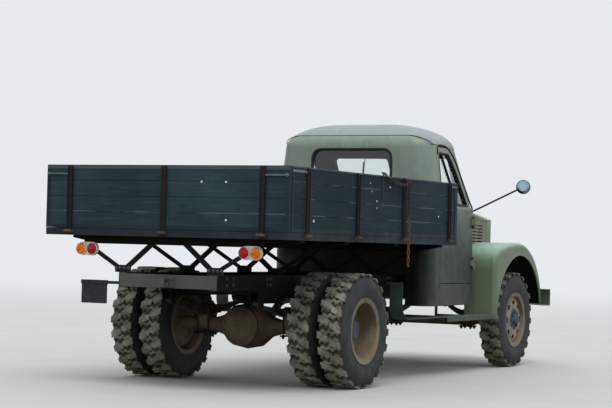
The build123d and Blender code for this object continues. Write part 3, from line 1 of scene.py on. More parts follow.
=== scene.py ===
# %% [markdown]
# A bonneted cargo truck, dressed for a picture. The exact solids come from the imported model, and this
# script gives them paint, rubber, rust and glass, rounds their edges and adds the small things that a
# solid modeller leaves out. The first cell loads the imported truck and groups its parts by body.

# %% Load the imported truck
import json
import math

import bmesh
import bpy
from mathutils import Matrix, Vector

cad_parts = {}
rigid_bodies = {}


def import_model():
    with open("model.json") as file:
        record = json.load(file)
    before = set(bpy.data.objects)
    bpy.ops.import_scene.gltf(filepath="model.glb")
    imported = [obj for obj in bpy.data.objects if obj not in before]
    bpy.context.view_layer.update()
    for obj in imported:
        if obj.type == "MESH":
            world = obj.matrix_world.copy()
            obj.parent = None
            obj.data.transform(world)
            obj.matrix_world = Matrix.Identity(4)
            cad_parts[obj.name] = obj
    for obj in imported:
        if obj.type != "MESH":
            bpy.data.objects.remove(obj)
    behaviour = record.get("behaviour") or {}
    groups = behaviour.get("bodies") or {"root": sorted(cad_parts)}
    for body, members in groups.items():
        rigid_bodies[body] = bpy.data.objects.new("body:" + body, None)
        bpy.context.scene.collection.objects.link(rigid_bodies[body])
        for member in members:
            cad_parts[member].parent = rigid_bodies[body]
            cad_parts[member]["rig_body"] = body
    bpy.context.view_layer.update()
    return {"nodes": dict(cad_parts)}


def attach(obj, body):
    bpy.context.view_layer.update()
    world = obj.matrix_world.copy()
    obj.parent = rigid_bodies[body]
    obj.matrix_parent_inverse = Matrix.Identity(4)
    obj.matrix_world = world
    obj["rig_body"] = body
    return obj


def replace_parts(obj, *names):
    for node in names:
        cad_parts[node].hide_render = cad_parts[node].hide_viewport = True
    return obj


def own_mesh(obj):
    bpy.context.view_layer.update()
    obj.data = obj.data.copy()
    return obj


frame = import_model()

scene = bpy.context.scene

# %% [markdown]
# The camera stands behind the truck on its right, low down, with a long lens. Its place and angles were
# worked out from the corners of the bed and the wheels, so that model and photograph share one view.
# Building the matrix from three directions avoids any doubt about the order of rotations.

# %% Camera
CAMERA_PLACE = Vector((-15.9583, -7.8457, 1.1939))
CAMERA_YAW = 0.4749
CAMERA_PITCH = 0.0229
CAMERA_ROLL = 0.0262
CAMERA_LENS = 109.16


def camera_matrix(place, yaw, pitch, roll):
    """World matrix of a camera that looks along yaw and pitch and leans by roll."""
    forward = Vector((math.cos(yaw) * math.cos(pitch), math.sin(yaw) * math.cos(pitch), math.sin(pitch)))
    right = forward.cross(Vector((0, 0, 1))).normalized()
    up = right.cross(forward)
    leaned_right = right * math.cos(roll) + up * math.sin(roll)
    leaned_up = up * math.cos(roll) - right * math.sin(roll)
    turn = Matrix((leaned_right, leaned_up, -forward)).transposed()
    return Matrix.Translation(place) @ turn.to_4x4()


lens = bpy.data.cameras.new("view_camera")
lens.lens = CAMERA_LENS
lens.sensor_width = 36
lens.clip_end = 500
camera = bpy.data.objects.new("view_camera", lens)
camera.matrix_world = camera_matrix(CAMERA_PLACE, CAMERA_YAW, CAMERA_PITCH, CAMERA_ROLL)
scene.collection.objects.link(camera)
scene.camera = camera
print("camera at", tuple(CAMERA_PLACE))

# %% [markdown]
# A finish is a short chain of nodes. These helpers each add one link of such a chain: a noise pattern in
# the truck's own coordinates, a ramp that cuts a value down to a band, a mix of two colours and a relief.
# Object coordinates are used everywhere, because the parts have no UV maps and the pattern then
# stays on the part when it moves. The finishes are kept in a list of their own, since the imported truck
# brings plain materials with some of the same names.

# %% Helpers for finishes
FINISHES = {}


def feed(node, inputs):
    """Gives a node's inputs what they need, each a socket, a colour or a number."""
    for name, value in inputs.items():
        socket = node.inputs[name]
        if isinstance(value, bpy.types.NodeSocket):
            node.id_data.links.new(value, socket)
        else:
            socket.default_value = (*value, 1) if socket.type == "RGBA" else value


def add_node(tree, kind, inputs, **settings):
    """A new shader node with its settings and its inputs."""
    node = tree.nodes.new("ShaderNode" + kind)
    for name, value in settings.items():
        setattr(node, name, value)
    feed(node, inputs)
    return node


def start_finish(name):
    """The shader of a new finish, and the object's own coordinates."""
    FINISHES[name] = bpy.data.materials.new(name)
    FINISHES[name].use_nodes = True
    tree = FINISHES[name].node_tree
    return tree.nodes["Principled BSDF"], add_node(tree, "TexCoord", {}).outputs["Object"]


def pattern(place, scale, detail, stretch=(1, 1, 1)):
    """Noise between 0 and 1, scaled and stretched along the truck's axes."""
    mapping = add_node(place.id_data, "Mapping", {"Scale": stretch, "Vector": place})
    noise = add_node(place.id_data, "TexNoise", {"Scale": scale, "Detail": detail, "Roughness": 0.6,
                                                 "Vector": mapping.outputs["Vector"]})
    return noise.outputs["Fac"]


def cells(place, scale):
    """Distance to the nearest of many scattered points, for pebbles and pressed ribs."""
    return add_node(place.id_data, "TexVoronoi", {"Scale": scale, "Vector": place}).outputs["Distance"]


def band(source, low, high, first=0.0, last=1.0):
    """Turns the part of a value between low and high into a smooth ramp from first to last."""
    ends = {"From Min": low, "From Max": high, "To Min": first, "To Max": last}
    ramp = add_node(source.id_data, "MapRange", {"Value": source, **ends}, interpolation_type="SMOOTHSTEP")
    return ramp.outputs["Result"]


def reckon(operation, first, *others):
    """One sum of a value and others, each a socket or a number."""
    values = dict(enumerate((first, *others)))
    return add_node(first.id_data, "Math", values, operation=operation).outputs["Value"]


def times(first, second):
    """Product of two values."""
    return reckon("MULTIPLY", first, second)


def mixed(share, first, second):
    """Mix of two colours by a share between 0 and 1."""
    inputs = {"Factor": share, 6: first, 7: second}
    return add_node(share.id_data, "Mix", inputs, data_type="RGBA").outputs[2]


def stained(colour, mask, share, tint):
    """A colour with a tint laid over it where the mask is 1, at most by a share."""
    return mixed(times(mask, share), colour, tint)


def shade(colour, factor):
    """A colour made brighter or darker."""
    return tuple(channel * factor for channel in colour)


def relief(shader, height, strength, depth):
    """Small bumps from a height pattern, depth in metres."""
    bump = add_node(height.id_data, "Bump", {"Strength": strength, "Distance": depth, "Height": height})
    feed(shader, {"Normal": bump.outputs["Normal"]})


def axis_of(place, axis):
    """One coordinate of the point that is shaded, in metres with the truck at rest."""
    return add_node(place.id_data, "SeparateXYZ", {"Vector": place}).outputs[axis]


def facing_up(place):
    """1 where a surface faces up, 0 where it faces sideways or down, in the truck's own frame."""
    return band(axis_of(place.node.outputs["Normal"], "Z"), 0.30, 0.95)


print("finish tools ready")

# %% [markdown]
# Old military paint is never one colour: it fades in patches, holds dust low down, and rain draws faint
# streaks on upright panels. The recipe also paints light and shade into the colour: faces that look up turn
# paler, which is painted sky light and partly sun fading, the lower panels can darken as painted shade, and
# the cab's back under the bed can be painted near black as shade. One recipe makes all the painted
# finishes, with the colours and the heights of dust and sun as its settings. A procedural recipe suits
# better than a picture, because every panel gets its own pattern without UV maps.

# %% Painted finishes
DUST = (0.150, 0.130, 0.095)
# Near-black painted shade for the cab's back under the bed.
UNDER_BED_SHADE = (0.005, 0.006, 0.005)
DUST_FOOT = 0.35
UNDER_BED_SHADE_X, UNDER_BED_SHADE_Z = (0.32, 0.25), (1.33, 1.22)


def weathered_paint(name, fresh, faded_and_skylit, grime, dust_top, sheen, gloss, shade_foot=None, algae=None, shade_under_bed=False):
    """Paint with faded patches, rain streaks and dust low down. Upward faces turn paler as painted sky
    light, partly sun fading; the foot and, where asked, the cab's back under the bed take painted shade.
    """
    shader, place = start_finish(name)
    height = axis_of(place, "Z")
    colour = stained(fresh, band(pattern(place, 1.5, 6), 0.34, 0.70), 0.45, faded_and_skylit)
    # Painted shade: from 1.86 m down to 1.16 m the colour turns to the shade colour of the foot.
    if shade_foot:
        colour = mixed(band(height, 1.86, 1.16), colour, shade_foot)
    # Painted sky light and reflection, partly sun fading: faces that look up take the faded colour.
    colour = stained(colour, facing_up(place), 0.85, faded_and_skylit)
    colour = stained(colour, band(pattern(place, 3.0, 6, (5, 5, 0.35)), 0.50, 0.74), 0.32, grime)
    colour = stained(colour, band(pattern(place, 38, 3), 0.42, 0.75), 0.10, grime)
    if algae:
        low, top, tint = algae
        reach = times(band(height, low, top), band(height, top + 0.004, top - 0.004))
        runs = band(pattern(place, 2.2, 3, (1, 13, 0.3)), 0.50, 0.66)
        colour = stained(colour, times(runs, reach), 0.55, tint)
    dust = times(band(height, dust_top, DUST_FOOT), band(pattern(place, 6, 5), 0.30, 0.65))
    colour = stained(colour, dust, 0.65, DUST)
    # Painted shade: the cab's lower back, under the bed, is made near black.
    if shade_under_bed:
        under_bed = times(band(axis_of(place, "X"), *UNDER_BED_SHADE_X), band(height, *UNDER_BED_SHADE_Z))
        colour = stained(colour, under_bed, 0.92, UNDER_BED_SHADE)
    polish = band(pattern(place, 9, 4), 0.3, 0.7, sheen - 0.07, sheen + 0.12)
    feed(shader, {"Base Color": colour, "Roughness": polish, "Specular IOR Level": gloss})
    relief(shader, pattern(place, 55, 3), 0.10, 0.0012)


# Columns: name, fresh colour, faded colour, which upward faces also take as painted sky light, grime colour,
# top of the dust in metres, roughness, gloss, and where they are needed the painted shade colour at the
# foot, the algae's heights and tint, and painted shade under the bed
for row in (
    ("cab_paint", (0.170, 0.212, 0.172), (0.295, 0.350, 0.300), (0.080, 0.092, 0.062), 0.95, 0.46, 0.30,
     (0.030, 0.043, 0.038), (2.03, 2.285, (0.27, 0.28, 0.12)), True),
    # The roof's paler, bluer paint is partly sun fading and partly a painted reflection of the sky.
    ("roof_paint", (0.215, 0.252, 0.248), (0.290, 0.325, 0.330), (0.160, 0.185, 0.165), 0.9, 0.46, 0.4),
    ("cab_inner_paint", (0.055, 0.070, 0.070), (0.08, 0.10, 0.10), (0.04, 0.042, 0.038), 0.9, 0.6, 0.2),
    # On the fender the pale faded colour is largely a painted highlight along its top.
    ("fender_paint", (0.138, 0.220, 0.148), (0.285, 0.420, 0.312), (0.090, 0.108, 0.070), 0.85, 0.38, 0.4,
     (0.130, 0.176, 0.108)),
    ("running_board_green", (0.045, 0.062, 0.046), (0.085, 0.105, 0.080), (0.04, 0.04, 0.03), 0.5, 0.5, 0.3),
    ("frame_black", (0.007, 0.0075, 0.0085), (0.014, 0.014, 0.014), (0.016, 0.013, 0.010), 0.55, 0.62, 0.10),
    ("frame_grey", (0.066, 0.063, 0.061), (0.120, 0.114, 0.107), (0.088, 0.057, 0.037), 0.9, 0.6, 0.2),
    ("gusset_blue", (0.034, 0.044, 0.056), (0.060, 0.072, 0.085), (0.040, 0.036, 0.030), 0.8, 0.6, 0.2),
    ("bed_edge_steel", (0.014, 0.021, 0.029), (0.030, 0.042, 0.055), (0.014, 0.013, 0.013), 0.8, 0.5, 0.12),
    # The pale top edge of the gates is a painted highlight of the sky.
    ("bed_top_edge", (0.050, 0.062, 0.080), (0.075, 0.090, 0.110), (0.030, 0.032, 0.036), 0.8, 0.5, 0.2),
    ("strap_brown", (0.011, 0.010, 0.010), (0.030, 0.026, 0.024), (0.035, 0.020, 0.012), 0.8, 0.55, 0.15),
    ("latch_steel", (0.085, 0.105, 0.125), (0.17, 0.19, 0.20), (0.07, 0.045, 0.03), 0.8, 0.45, 0.4),
    ("hinge_cream", (0.13, 0.145, 0.105), (0.19, 0.20, 0.145), (0.09, 0.075, 0.05), 0.8, 0.55, 0.25),
    ("lamp_plate", (0.72, 0.70, 0.66), (0.80, 0.79, 0.76), (0.50, 0.45, 0.38), 0.5, 0.4, 0.3),
    # The beige of the louvre slats is a painted reflection.
    ("louvre_brown", (0.150, 0.135, 0.100), (0.24, 0.215, 0.165), (0.09, 0.055, 0.03), 0.8, 0.55, 0.3),
    ("bolt_white", (0.45, 0.47, 0.47), (0.60, 0.62, 0.62), (0.3, 0.28, 0.25), 0.5, 0.5, 0.3),
):
    weathered_paint(*row)
print("paints", len(FINISHES))

# %% [markdown]
# The bed is planks painted in a dark blue grey. Plank paint shows the grain along the board, so the
# pattern is stretched along it: along X for the side gates and the floor, along Y for the tailgate and
# the headboard. The seams are grooves in the solid, and old paint breaks off beside them, which draws
# thin pale scratches. The tailgate has hardly any, so how much of this shows is a setting.

# %% Plank paint
GATE_LOW, GATE_TOP, BOARD_ROWS = 1.305, 1.821, 4
SEAMS = [GATE_LOW + row * (GATE_TOP - GATE_LOW) / BOARD_ROWS for row in range(1, BOARD_ROWS)]
SEAM_LIFT, SEAM_BAND = 0.004, 0.0042
CHIPPED, SCRATCHED = (0.20, 0.23, 0.25), (0.13, 0.15, 0.165)


def plank_paint(name, along, deep, light, seams, scratches):
    """Dark painted boards with grain along one axis and pale scratches at the seams."""
    shader, place = start_finish(name)
    stretch = tuple(1 if axis == along else 16 for axis in range(3))
    thin_stretch = tuple(1 if axis == along else 60 for axis in range(3))
    grain = pattern(place, 3.2, 7, stretch)
    colour = mixed(band(pattern(place, 1.1, 5), 0.32, 0.72), deep, light)
    colour = stained(colour, band(grain, 0.50, 0.74), 0.35, shade(light, 1.7))
    colour = stained(colour, band(pattern(place, 5.0, 5, stretch), 0.52, 0.72), 0.5, shade(deep, 0.5))
    broken = band(pattern(place, 3.0, 5, stretch), 0.47, 0.58)
    for seam in seams:
        near = reckon("COMPARE", axis_of(place, "Z"), seam + SEAM_LIFT, SEAM_BAND)
        colour = stained(colour, times(near, broken), scratches, CHIPPED)
    long_scratch = band(pattern(place, 7.0, 2, thin_stretch), 0.66, 0.74)
    colour = stained(colour, long_scratch, scratches * 0.6, SCRATCHED)
    polish = band(grain, 0.3, 0.7, 0.46, 0.64)
    feed(shader, {"Base Color": colour, "Roughness": polish, "Specular IOR Level": 0.05})
    relief(shader, grain, 0.30, 0.0014)


# Columns: name, axis of the grain, deep and light colours, seams, share of scratches
for row in (
    ("bed_paint_sides", 0, (0.0130, 0.0255, 0.0340), (0.0230, 0.0395, 0.0505), SEAMS, 0.55),
    ("bed_paint_ends", 1, (0.0175, 0.0360, 0.0410), (0.0330, 0.0590, 0.0670), SEAMS[:1], 0.5),
    ("bed_paint_floor", 0, (0.020, 0.026, 0.028), (0.045, 0.048, 0.046), (), 0.5),
    ("bearer_wood", 1, (0.004, 0.004, 0.004), (0.009, 0.008, 0.007), (), 0.1),
):
    plank_paint(*row)
print("plank seams at", [round(seam, 3) for seam in SEAMS])

# %% [markdown]
# Axles, springs and hubs are bare or thinly painted castings under caked dust. Rust and dry mud are two
# more noise colours. Tyre rubber is dark and a little blue on the sidewall and dusty on the lugs, so the
# tyre gets two finishes, and which one a face wears is decided later by where the face lies. The grooves of
# the tread are darkened as painted shade.

# %% Metal and rubber
FRONT_AXLE, REAR_AXLE, HUB_HEIGHT = 2.275, -1.725, 0.49
MID_AXLE, HALF_BASE = (FRONT_AXLE + REAR_AXLE) / 2, (FRONT_AXLE - REAR_AXLE) / 2
LUG_BACK, GROOVE_FLOOR = 0.4895, 0.4680


def cast_metal(name, metal, rust, mud, mud_top, share):
    """Dusty castings: a dark metal with rusty patches and mud low down."""
    shader, place = start_finish(name)
    colour = mixed(band(pattern(place, 5, 7), 0.40, 0.62), metal, rust)
    caked = times(band(axis_of(place, "Z"), mud_top, 0.25), band(pattern(place, 9, 6), 0.32, 0.60))
    colour = stained(colour, caked, share, mud)
    colour = stained(colour, band(pattern(place, 70, 3), 0.55, 0.75), 0.25, mud)
    feed(shader, {"Base Color": colour, "Roughness": 0.8, "Specular IOR Level": 0.3})
    relief(shader, pattern(place, 45, 6), 0.45, 0.002)


def groove_shade(place):
    """Painted shade in the tread: 0 on the back of a lug and 1 in the grooves. Both axles lie half a
    wheelbase from the same middle.
    """
    from_middle = reckon("ABSOLUTE", reckon("SUBTRACT", axis_of(place, "X"), MID_AXLE))
    along = reckon("SUBTRACT", from_middle, HALF_BASE)
    above = reckon("SUBTRACT", axis_of(place, "Z"), HUB_HEIGHT)
    reach = reckon("SQRT", reckon("ADD", times(along, along), times(above, above)))
    return band(reach, LUG_BACK, GROOVE_FLOOR)


def tyre_rubber(name, dark, dust, share, groove=None):
    """Tyre rubber with dry dust in its pores, and with painted shade in the grooves where a groove colour is
    given.
    """
    shader, place = start_finish(name)
    colour = stained(dark, band(pattern(place, 9, 7), 0.36, 0.68), share, dust)
    colour = stained(colour, band(pattern(place, 80, 4), 0.5, 0.72), share * 0.6, shade(dust, 1.5))
    if groove:
        # Painted shade: the grooves turn nearly black.
        colour = stained(colour, groove_shade(place), 0.92, groove)
    feed(shader, {"Base Color": colour, "Roughness": 0.7, "Specular IOR Level": 0.35})
    relief(shader, pattern(place, 120, 4), 0.3, 0.0012)


# Columns: name, metal, rust and mud colours, top of the mud in metres, its share
for row in (
    ("axle_rust", (0.070, 0.057, 0.040), (0.152, 0.108, 0.068), (0.200, 0.155, 0.100), 0.75, 0.6),
    ("spring_rust", (0.020, 0.019, 0.018), (0.060, 0.038, 0.024), (0.080, 0.060, 0.038), 0.7, 0.5),
    ("pin_rust", (0.050, 0.036, 0.028), (0.100, 0.055, 0.032), (0.06, 0.04, 0.025), 0.5, 0.3),
    ("wheel_paint", (0.125, 0.094, 0.060), (0.200, 0.150, 0.096), (0.235, 0.180, 0.118), 0.95, 0.7),
    ("hole_brown", (0.13, 0.094, 0.046), (0.18, 0.13, 0.065), (0.15, 0.11, 0.06), 0.9, 0.5),
    ("wheel_blue", (0.114, 0.118, 0.120), (0.260, 0.230, 0.178), (0.35, 0.30, 0.23), 0.75, 0.6),
    ("rim_lip", (0.13, 0.145, 0.16), (0.20, 0.20, 0.19), (0.20, 0.185, 0.155), 0.5, 0.35),
    ("hub_steel", (0.060, 0.090, 0.125), (0.060, 0.066, 0.075), (0.10, 0.09, 0.07), 0.5, 0.4),
):
    cast_metal(*row)
tyre_rubber("sidewall_rubber", (0.019, 0.0215, 0.026), (0.052, 0.052, 0.049), 0.55)
# The last colour is the painted shade in the tread's grooves.
tyre_rubber("tread_rubber", (0.125, 0.121, 0.098), (0.350, 0.335, 0.262), 0.80, (0.012, 0.012, 0.010))
print("metals and rubbers", len(FINISHES))

# %% [markdown]
# The chain hangs from the gate's top edge. It is dark and greasy where hands and the gate rub it and
# bright rust on the free end, so its colour follows the height of the link.

# %% Chain rust
GREASY_Z, RUSTY_Z = 1.58, 1.36
shader, place = start_finish("chain_rust")
patches = band(pattern(place, 40, 5), 0.40, 0.62)
greasy = mixed(patches, (0.020, 0.018, 0.017), (0.048, 0.030, 0.022))
rusty = mixed(patches, (0.085, 0.036, 0.018), (0.19, 0.085, 0.040))
colour = mixed(band(axis_of(place, "Z"), GREASY_Z, RUSTY_Z), greasy, rusty)
feed(shader, {"Base Color": colour, "Roughness": 0.75, "Metallic": 0.1})
relief(shader, pattern(place, 160, 4), 0.4, 0.001)
print("chain rust ready")

# %% [markdown]
# Glass, lamp plastic and the mirror come next. Window glass is thin and slightly dusty. A lamp lens is
# coloured all through and glossy. The mirror is a smooth metal layer with a bluish cast and some dust.

# %% Glass, lenses and mirror
LENS_GLOW = 0.14


def clear_glass(name, tint=(0.90, 0.94, 0.93), haze=0.02):
    """Thin flat glass with a little dust on it."""
    shader, place = start_finish(name)
    film = band(pattern(place, 12, 5), 0.45, 0.75, haze, haze + 0.08)
    feed(shader, {"Base Color": tint, "Roughness": film, "Transmission Weight": 1.0, "IOR": 1.45})


def lens_plastic(name, colour):
    """Coloured lamp plastic with pressed ribs that throw light back, which a faint glow stands for."""
    shader, place = start_finish(name)
    tone = mixed(band(cells(place, 48), 0.15, 0.55), colour, shade(colour, 0.34))
    feed(shader, {"Base Color": tone, "Roughness": 0.15, "Specular IOR Level": 0.25,
                  "Emission Color": colour, "Emission Strength": LENS_GLOW})
    relief(shader, cells(place, 150), 0.3, 0.001)


clear_glass("window_glass")
clear_glass("headlamp_lens", (0.80, 0.84, 0.84), 0.15)
lens_plastic("amber_lens", (1.0, 0.23, 0.003))
lens_plastic("red_lens", (0.50, 0.003, 0.012))
shader, place = start_finish("mirror_silver")
silver = stained((0.30, 0.43, 0.50), band(pattern(place, 22, 4), 0.42, 0.70), 0.55, (0.15, 0.22, 0.27))
feed(shader, {"Base Color": silver, "Metallic": 1.0, "Roughness": 0.12})
print("glass and lenses ready")

# %% [markdown]
# Inside the cab there is a leathercloth bench and a black steering wheel. Leathercloth has a fine
# pebbled grain, which a cell pattern gives well, and it shines a little where it is worn.


# %% Trim finishes
def leathercloth(name, colour, worn):
    """Seat cover with a pebbled grain."""
    shader, place = start_finish(name)
    feed(shader, {"Base Color": mixed(band(pattern(place, 5, 5), 0.40, 0.66), colour, worn),
                  "Roughness": band(pattern(place, 8, 3), 0.3, 0.7, 0.42, 0.62)})
    relief(shader, cells(place, 260), 0.35, 0.0008)


def dull_plastic(name, colour, rough=0.5):
    """Moulded black plastic or rubber with a faint grain."""
    shader, place = start_finish(name)
    paler = tuple(channel * 1.8 + 0.008 for channel in colour)
    tone = stained(colour, band(pattern(place, 14, 4), 0.35, 0.7), 0.6, paler)
    feed(shader, {"Base Color": tone, "Roughness": rough, "Specular IOR Level": 0.3})
    relief(shader, pattern(place, 150, 2), 0.2, 0.0006)


leathercloth("seat_cover", (0.045, 0.034, 0.026), (0.075, 0.058, 0.045))
dull_plastic("cab_trim", (0.012, 0.012, 0.012))
dull_plastic("seal_rubber", (0.008, 0.008, 0.008), 0.6)
dull_plastic("mirror_case", (0.012, 0.018, 0.022), 0.4)
dull_plastic("blank_plate", (0.016, 0.020, 0.026), 0.55)
print("trim ready")

# %% [markdown]
# The cab was drawn as level outlines joined by flat facets. Up to the eaves that is what the real walls
# do, but the roof is one smooth dome. These lines of the cab are needed twice: to round the roof here, and
# later to lay rubber seals on its walls. Between two heights the outline changes evenly.

# %% The cab's lines
EAVE, ROOF_TOP = 2.170, 2.413
ROOF_STEPS = (0, 22, 42, 62, 86)
NOSE = 0.050


def roof_sizes(inward):
    """Rear X, front X and the half widths at the rear and front, where the roof has drawn in by a share."""
    return (0.243 + 0.380 * inward, 1.120 - 0.310 * inward, 0.793 - 0.530 * inward, 0.735 - 0.480 * inward)


# Columns: height, rear X, front X at the corners, half width at the rear, half width at the front, nose
CAB_LINES = [
    (0.655, 0.235, 1.480, 0.860, 0.812, 0.0),
    (1.600, 0.235, 1.480, 0.856, 0.808, 0.0),
    (1.622, 0.235, 1.424, 0.853, 0.798, NOSE),
]
for step in ROOF_STEPS:
    turn = math.radians(step)
    height = EAVE + (ROOF_TOP - EAVE) * math.sin(turn)
    CAB_LINES.append((height, *roof_sizes(1 - math.cos(turn)), NOSE))


def cab_line(height):
    """Rear X, front X, half width at the rear and front, and nose of the flat-faced cab at a height."""
    for low, high in zip(CAB_LINES, CAB_LINES[1:]):
        if height <= high[0]:
            share = (height - low[0]) / (high[0] - low[0])
            return [a + (b - a) * share for a, b in zip(low[1:], high[1:])]
    return list(CAB_LINES[-1][1:])


def domed(point):
    """Where a point of the faceted roof goes on the smooth dome."""
    if point.z <= EAVE:
        return point
    rise = min((point.z - EAVE) / (ROOF_TOP - EAVE), math.sin(math.radians(ROOF_STEPS[-1])))
    rear, front, half_rear, half_front, _ = cab_line(point.z)
    full_rear, full_front, full_half_rear, full_half_front = roof_sizes(1 - math.sqrt(1 - rise * rise))
    along = (point.x - rear) / (front - rear)
    near_front = min(1.0, max(0.0, along))
    grown = (full_half_rear / half_rear) * (1 - near_front) + (full_half_front / half_front) * near_front
    return Vector((full_rear + along * (full_front - full_rear), point.y * grown, point.z))


def wall_y(x, z, side):
    """Y of the cab's side wall at a place in the side view."""
    rear, front, half_rear, half_front, _ = cab_line(z)
    half = half_rear + (half_front - half_rear) * (x - rear) / (front - rear)
    return domed(Vector((x, side * half, z))).y


def front_x(y, z):
    """X of the cab's slanted front at a place in the front view."""
    _, front, _, half_front, nose = cab_line(z)
    return front + nose * (1 - abs(y) / half_front)


print("half width at the eaves", cab_line(EAVE)[2])

# %% [markdown]
# Dressing a node: a solid modeller writes hard edges and flat facets, and light never catches such an
# edge. So each node is copied, its split corners are welded, its edges get a small bevel and the rest is
# shaded smooth. The copy stands for the node, while the solid itself stays untouched for the physics.
# One node often wears more than one finish, so a face's own middle decides which one it takes.

# %% Dress a node
BEVEL_ANGLE, FLAT_ANGLE, WELD = math.radians(28), math.radians(0.4), 0.00003
CAB_NODES = ("cab_roof", "cab_rear", "cab_cowl", "door_left", "door_right")
DOME_STEP = 0.010


def settle(piece, finishes, body):
    """Gives a finished piece its body and the finishes that a line of text names."""
    piece.data.materials.clear()
    for name in finishes.split():
        piece.data.materials.append(FINISHES[name])
    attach(piece, body)
    return piece


def baked_mesh(piece, name):
    """Replaces a piece's mesh and modifiers by the mesh that they make."""
    bpy.context.view_layer.update()
    shaped = piece.evaluated_get(bpy.context.evaluated_depsgraph_get())
    made = bpy.data.meshes.new_from_object(shaped)
    piece.modifiers.clear()
    piece.data = made
    made.name = name
    return made


def rounded(piece, width):
    """Adds a small bevel to the sharp edges of a piece and bakes it."""
    if width:
        rounding = piece.modifiers.new("rounding", "BEVEL")
        rounding.width = width
        rounding.segments = 2
        rounding.limit_method = "ANGLE"
        rounding.angle_limit = BEVEL_ANGLE
        rounding.use_clamp_overlap = True
    shading = piece.modifiers.new("shading", "WEIGHTED_NORMAL")
    shading.keep_sharp = True
    for face in piece.data.polygons:
        face.use_smooth = True
    return baked_mesh(piece, piece.name)


def round_dome(form):
    """Cuts the cab's upper panels into thin level rings and moves them out to the smooth dome."""
    levels = int((ROOF_TOP - EAVE) / DOME_STEP)
    for level in range(levels):
        ring = (0, 0, EAVE + (level + 0.5) * DOME_STEP)
        everything = form.verts[:] + form.edges[:] + form.faces[:]
        bmesh.ops.bisect_plane(form, geom=everything, plane_co=ring, plane_no=(0, 0, 1), dist=0.0002)
    for vertex in form.verts:
        vertex.co = domed(vertex.co)


def dress(node, finishes, edge, choose):
    """A welded copy of a node with rounded edges and a finish for each of its regions."""
    source = frame["nodes"][node]
    piece = bpy.data.objects.new(node + "_dressed", source.data.copy())
    scene.collection.objects.link(piece)
    form = bmesh.new()
    form.from_mesh(piece.data)
    bmesh.ops.remove_doubles(form, verts=form.verts, dist=WELD)
    bmesh.ops.dissolve_limit(form, angle_limit=FLAT_ANGLE, verts=form.verts, edges=form.edges)
    if node in CAB_NODES:
        round_dome(form)
    form.to_mesh(piece.data)
    form.free()
    rounded(piece, edge)
    settle(piece, finishes, source["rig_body"])
    if choose:
        for face in piece.data.polygons:
            face.material_index = int(choose(face.center, face.normal))
    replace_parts(piece, node)
    return piece


print("dressing tools ready")

# %% [markdown]
# Where one node needs several finishes, a short rule tells them apart by place: a strap is what stands
# proud of the boards, a sidewall is what lies below the lugs, and the cab's inside is what faces its middle.

# %% Rules for regions
BOARD_OUT, BOARD_BACK = 1.1404, -3.2004
KNUCKLE_TOP, TOP_EDGE = 1.290, 1.80
LATCH_Z, LATCH_HALF, LATCH_ENDS = 1.783, 0.013, (-2.920, 0.014)
LUG_FOOT, RIM_EDGE, DISC_EDGE = 0.449, 0.262, 0.236
HUB_EDGE, NUT_EDGE, NUT_OUT, HAND_HOLES = 0.070, 0.108, 0.9425, (0.13, 0.225)
REAR_HUB_EDGE, REAR_HUB_OUT, REAR_NUTS, REAR_NUTS_Y = 0.100, 0.90, (0.122, 0.154), (0.8735, 0.91)
BED_INSIDE_Y, FLANGE_Y, FACING_IN = 1.10, 0.985, -0.3
CAB_MIDDLE, CAB_WALL, CAB_INSIDE_Z = Vector((0.80, 0, 1.60)), 0.030, (0.95, 2.36)
ARCH_MIDDLE = Vector((FRONT_AXLE, 0.70, 0.60))
LENS_FOOT_X, LENS_PARTING_Y = -3.1275, 0.770
HEADLAMP_GLASS_X, HEADLAMP_Y, HEADLAMP_Z, HEADLAMP_GLASS = 2.8765, 0.700, 1.180, 0.091
FAR = 9.0
ANY = (-FAR, FAR)


def within(*ranges):
    """A rule that is true in a box, given by ranges of X, of Y on either side of the truck, and of Z."""

    def rule(place, normal):
        """Whether a face lies in the box."""
        values = (place.x, abs(place.y), place.z)
        return all(low < value < high for value, (low, high) in zip(values, ranges))

    return rule


on_door_hinge = within((1.33, FAR), (0.8165, FAR), (0, 1.56))
on_cowl_hinge = within((1.37, 1.45), (0.8165, FAR), ANY)
on_door_handle = within((-FAR, 0.70), (0.866, FAR), ANY)
on_radiator = within((-FAR, 2.685), (-FAR, 0.43), (0.90, FAR))
on_louvres = within((1.635, 2.425), ANY, (1.284, 1.470))
on_rear_crossmember = within((-FAR, -3.0), ANY, ANY)
on_rail_ends = within((-FAR, -3.06), ANY, ANY)
on_gussets = within((-FAR, -3.05), (0.345, 0.52), (-FAR, 1.006))


def hub_distance(place):
    """Distance from the nearer axle, seen from the side."""
    return math.hypot(abs(place.x - MID_AXLE) - HALF_BASE, place.z - HUB_HEIGHT)


def gate_region(place, normal):
    """Boards 0, straps 1, latch bars 2, knuckles 3 and the top edge 4 of a side gate, which wears a painted
    highlight.
    """
    if abs(place.y) <= BOARD_OUT:
        return 4 if normal.z > 0.5 and place.z > TOP_EDGE else 0
    if place.z < KNUCKLE_TOP:
        return 3
    at_end = place.x < LATCH_ENDS[0] or place.x > LATCH_ENDS[1]
    return 2 if abs(place.z - LATCH_Z) < LATCH_HALF and at_end else 1


def tail_region(place, normal):
    """Boards 0, straps 1, knuckles 3 and the top edge 4 of the tailgate, which wears a painted highlight."""
    if place.x < BOARD_BACK:
        return 3 if place.z < KNUCKLE_TOP else 1
    return 4 if normal.z > 0.5 and place.z > TOP_EDGE else 0


def floor_region(place, normal):
    """The planks 0 inside the bed, and its steel edge 1 with the hinge forks 2."""
    if abs(place.y) > BOARD_OUT or place.x < BOARD_BACK:
        return 2
    return 0 if normal.z > 0.5 and abs(place.y) < BED_INSIDE_Y else 1


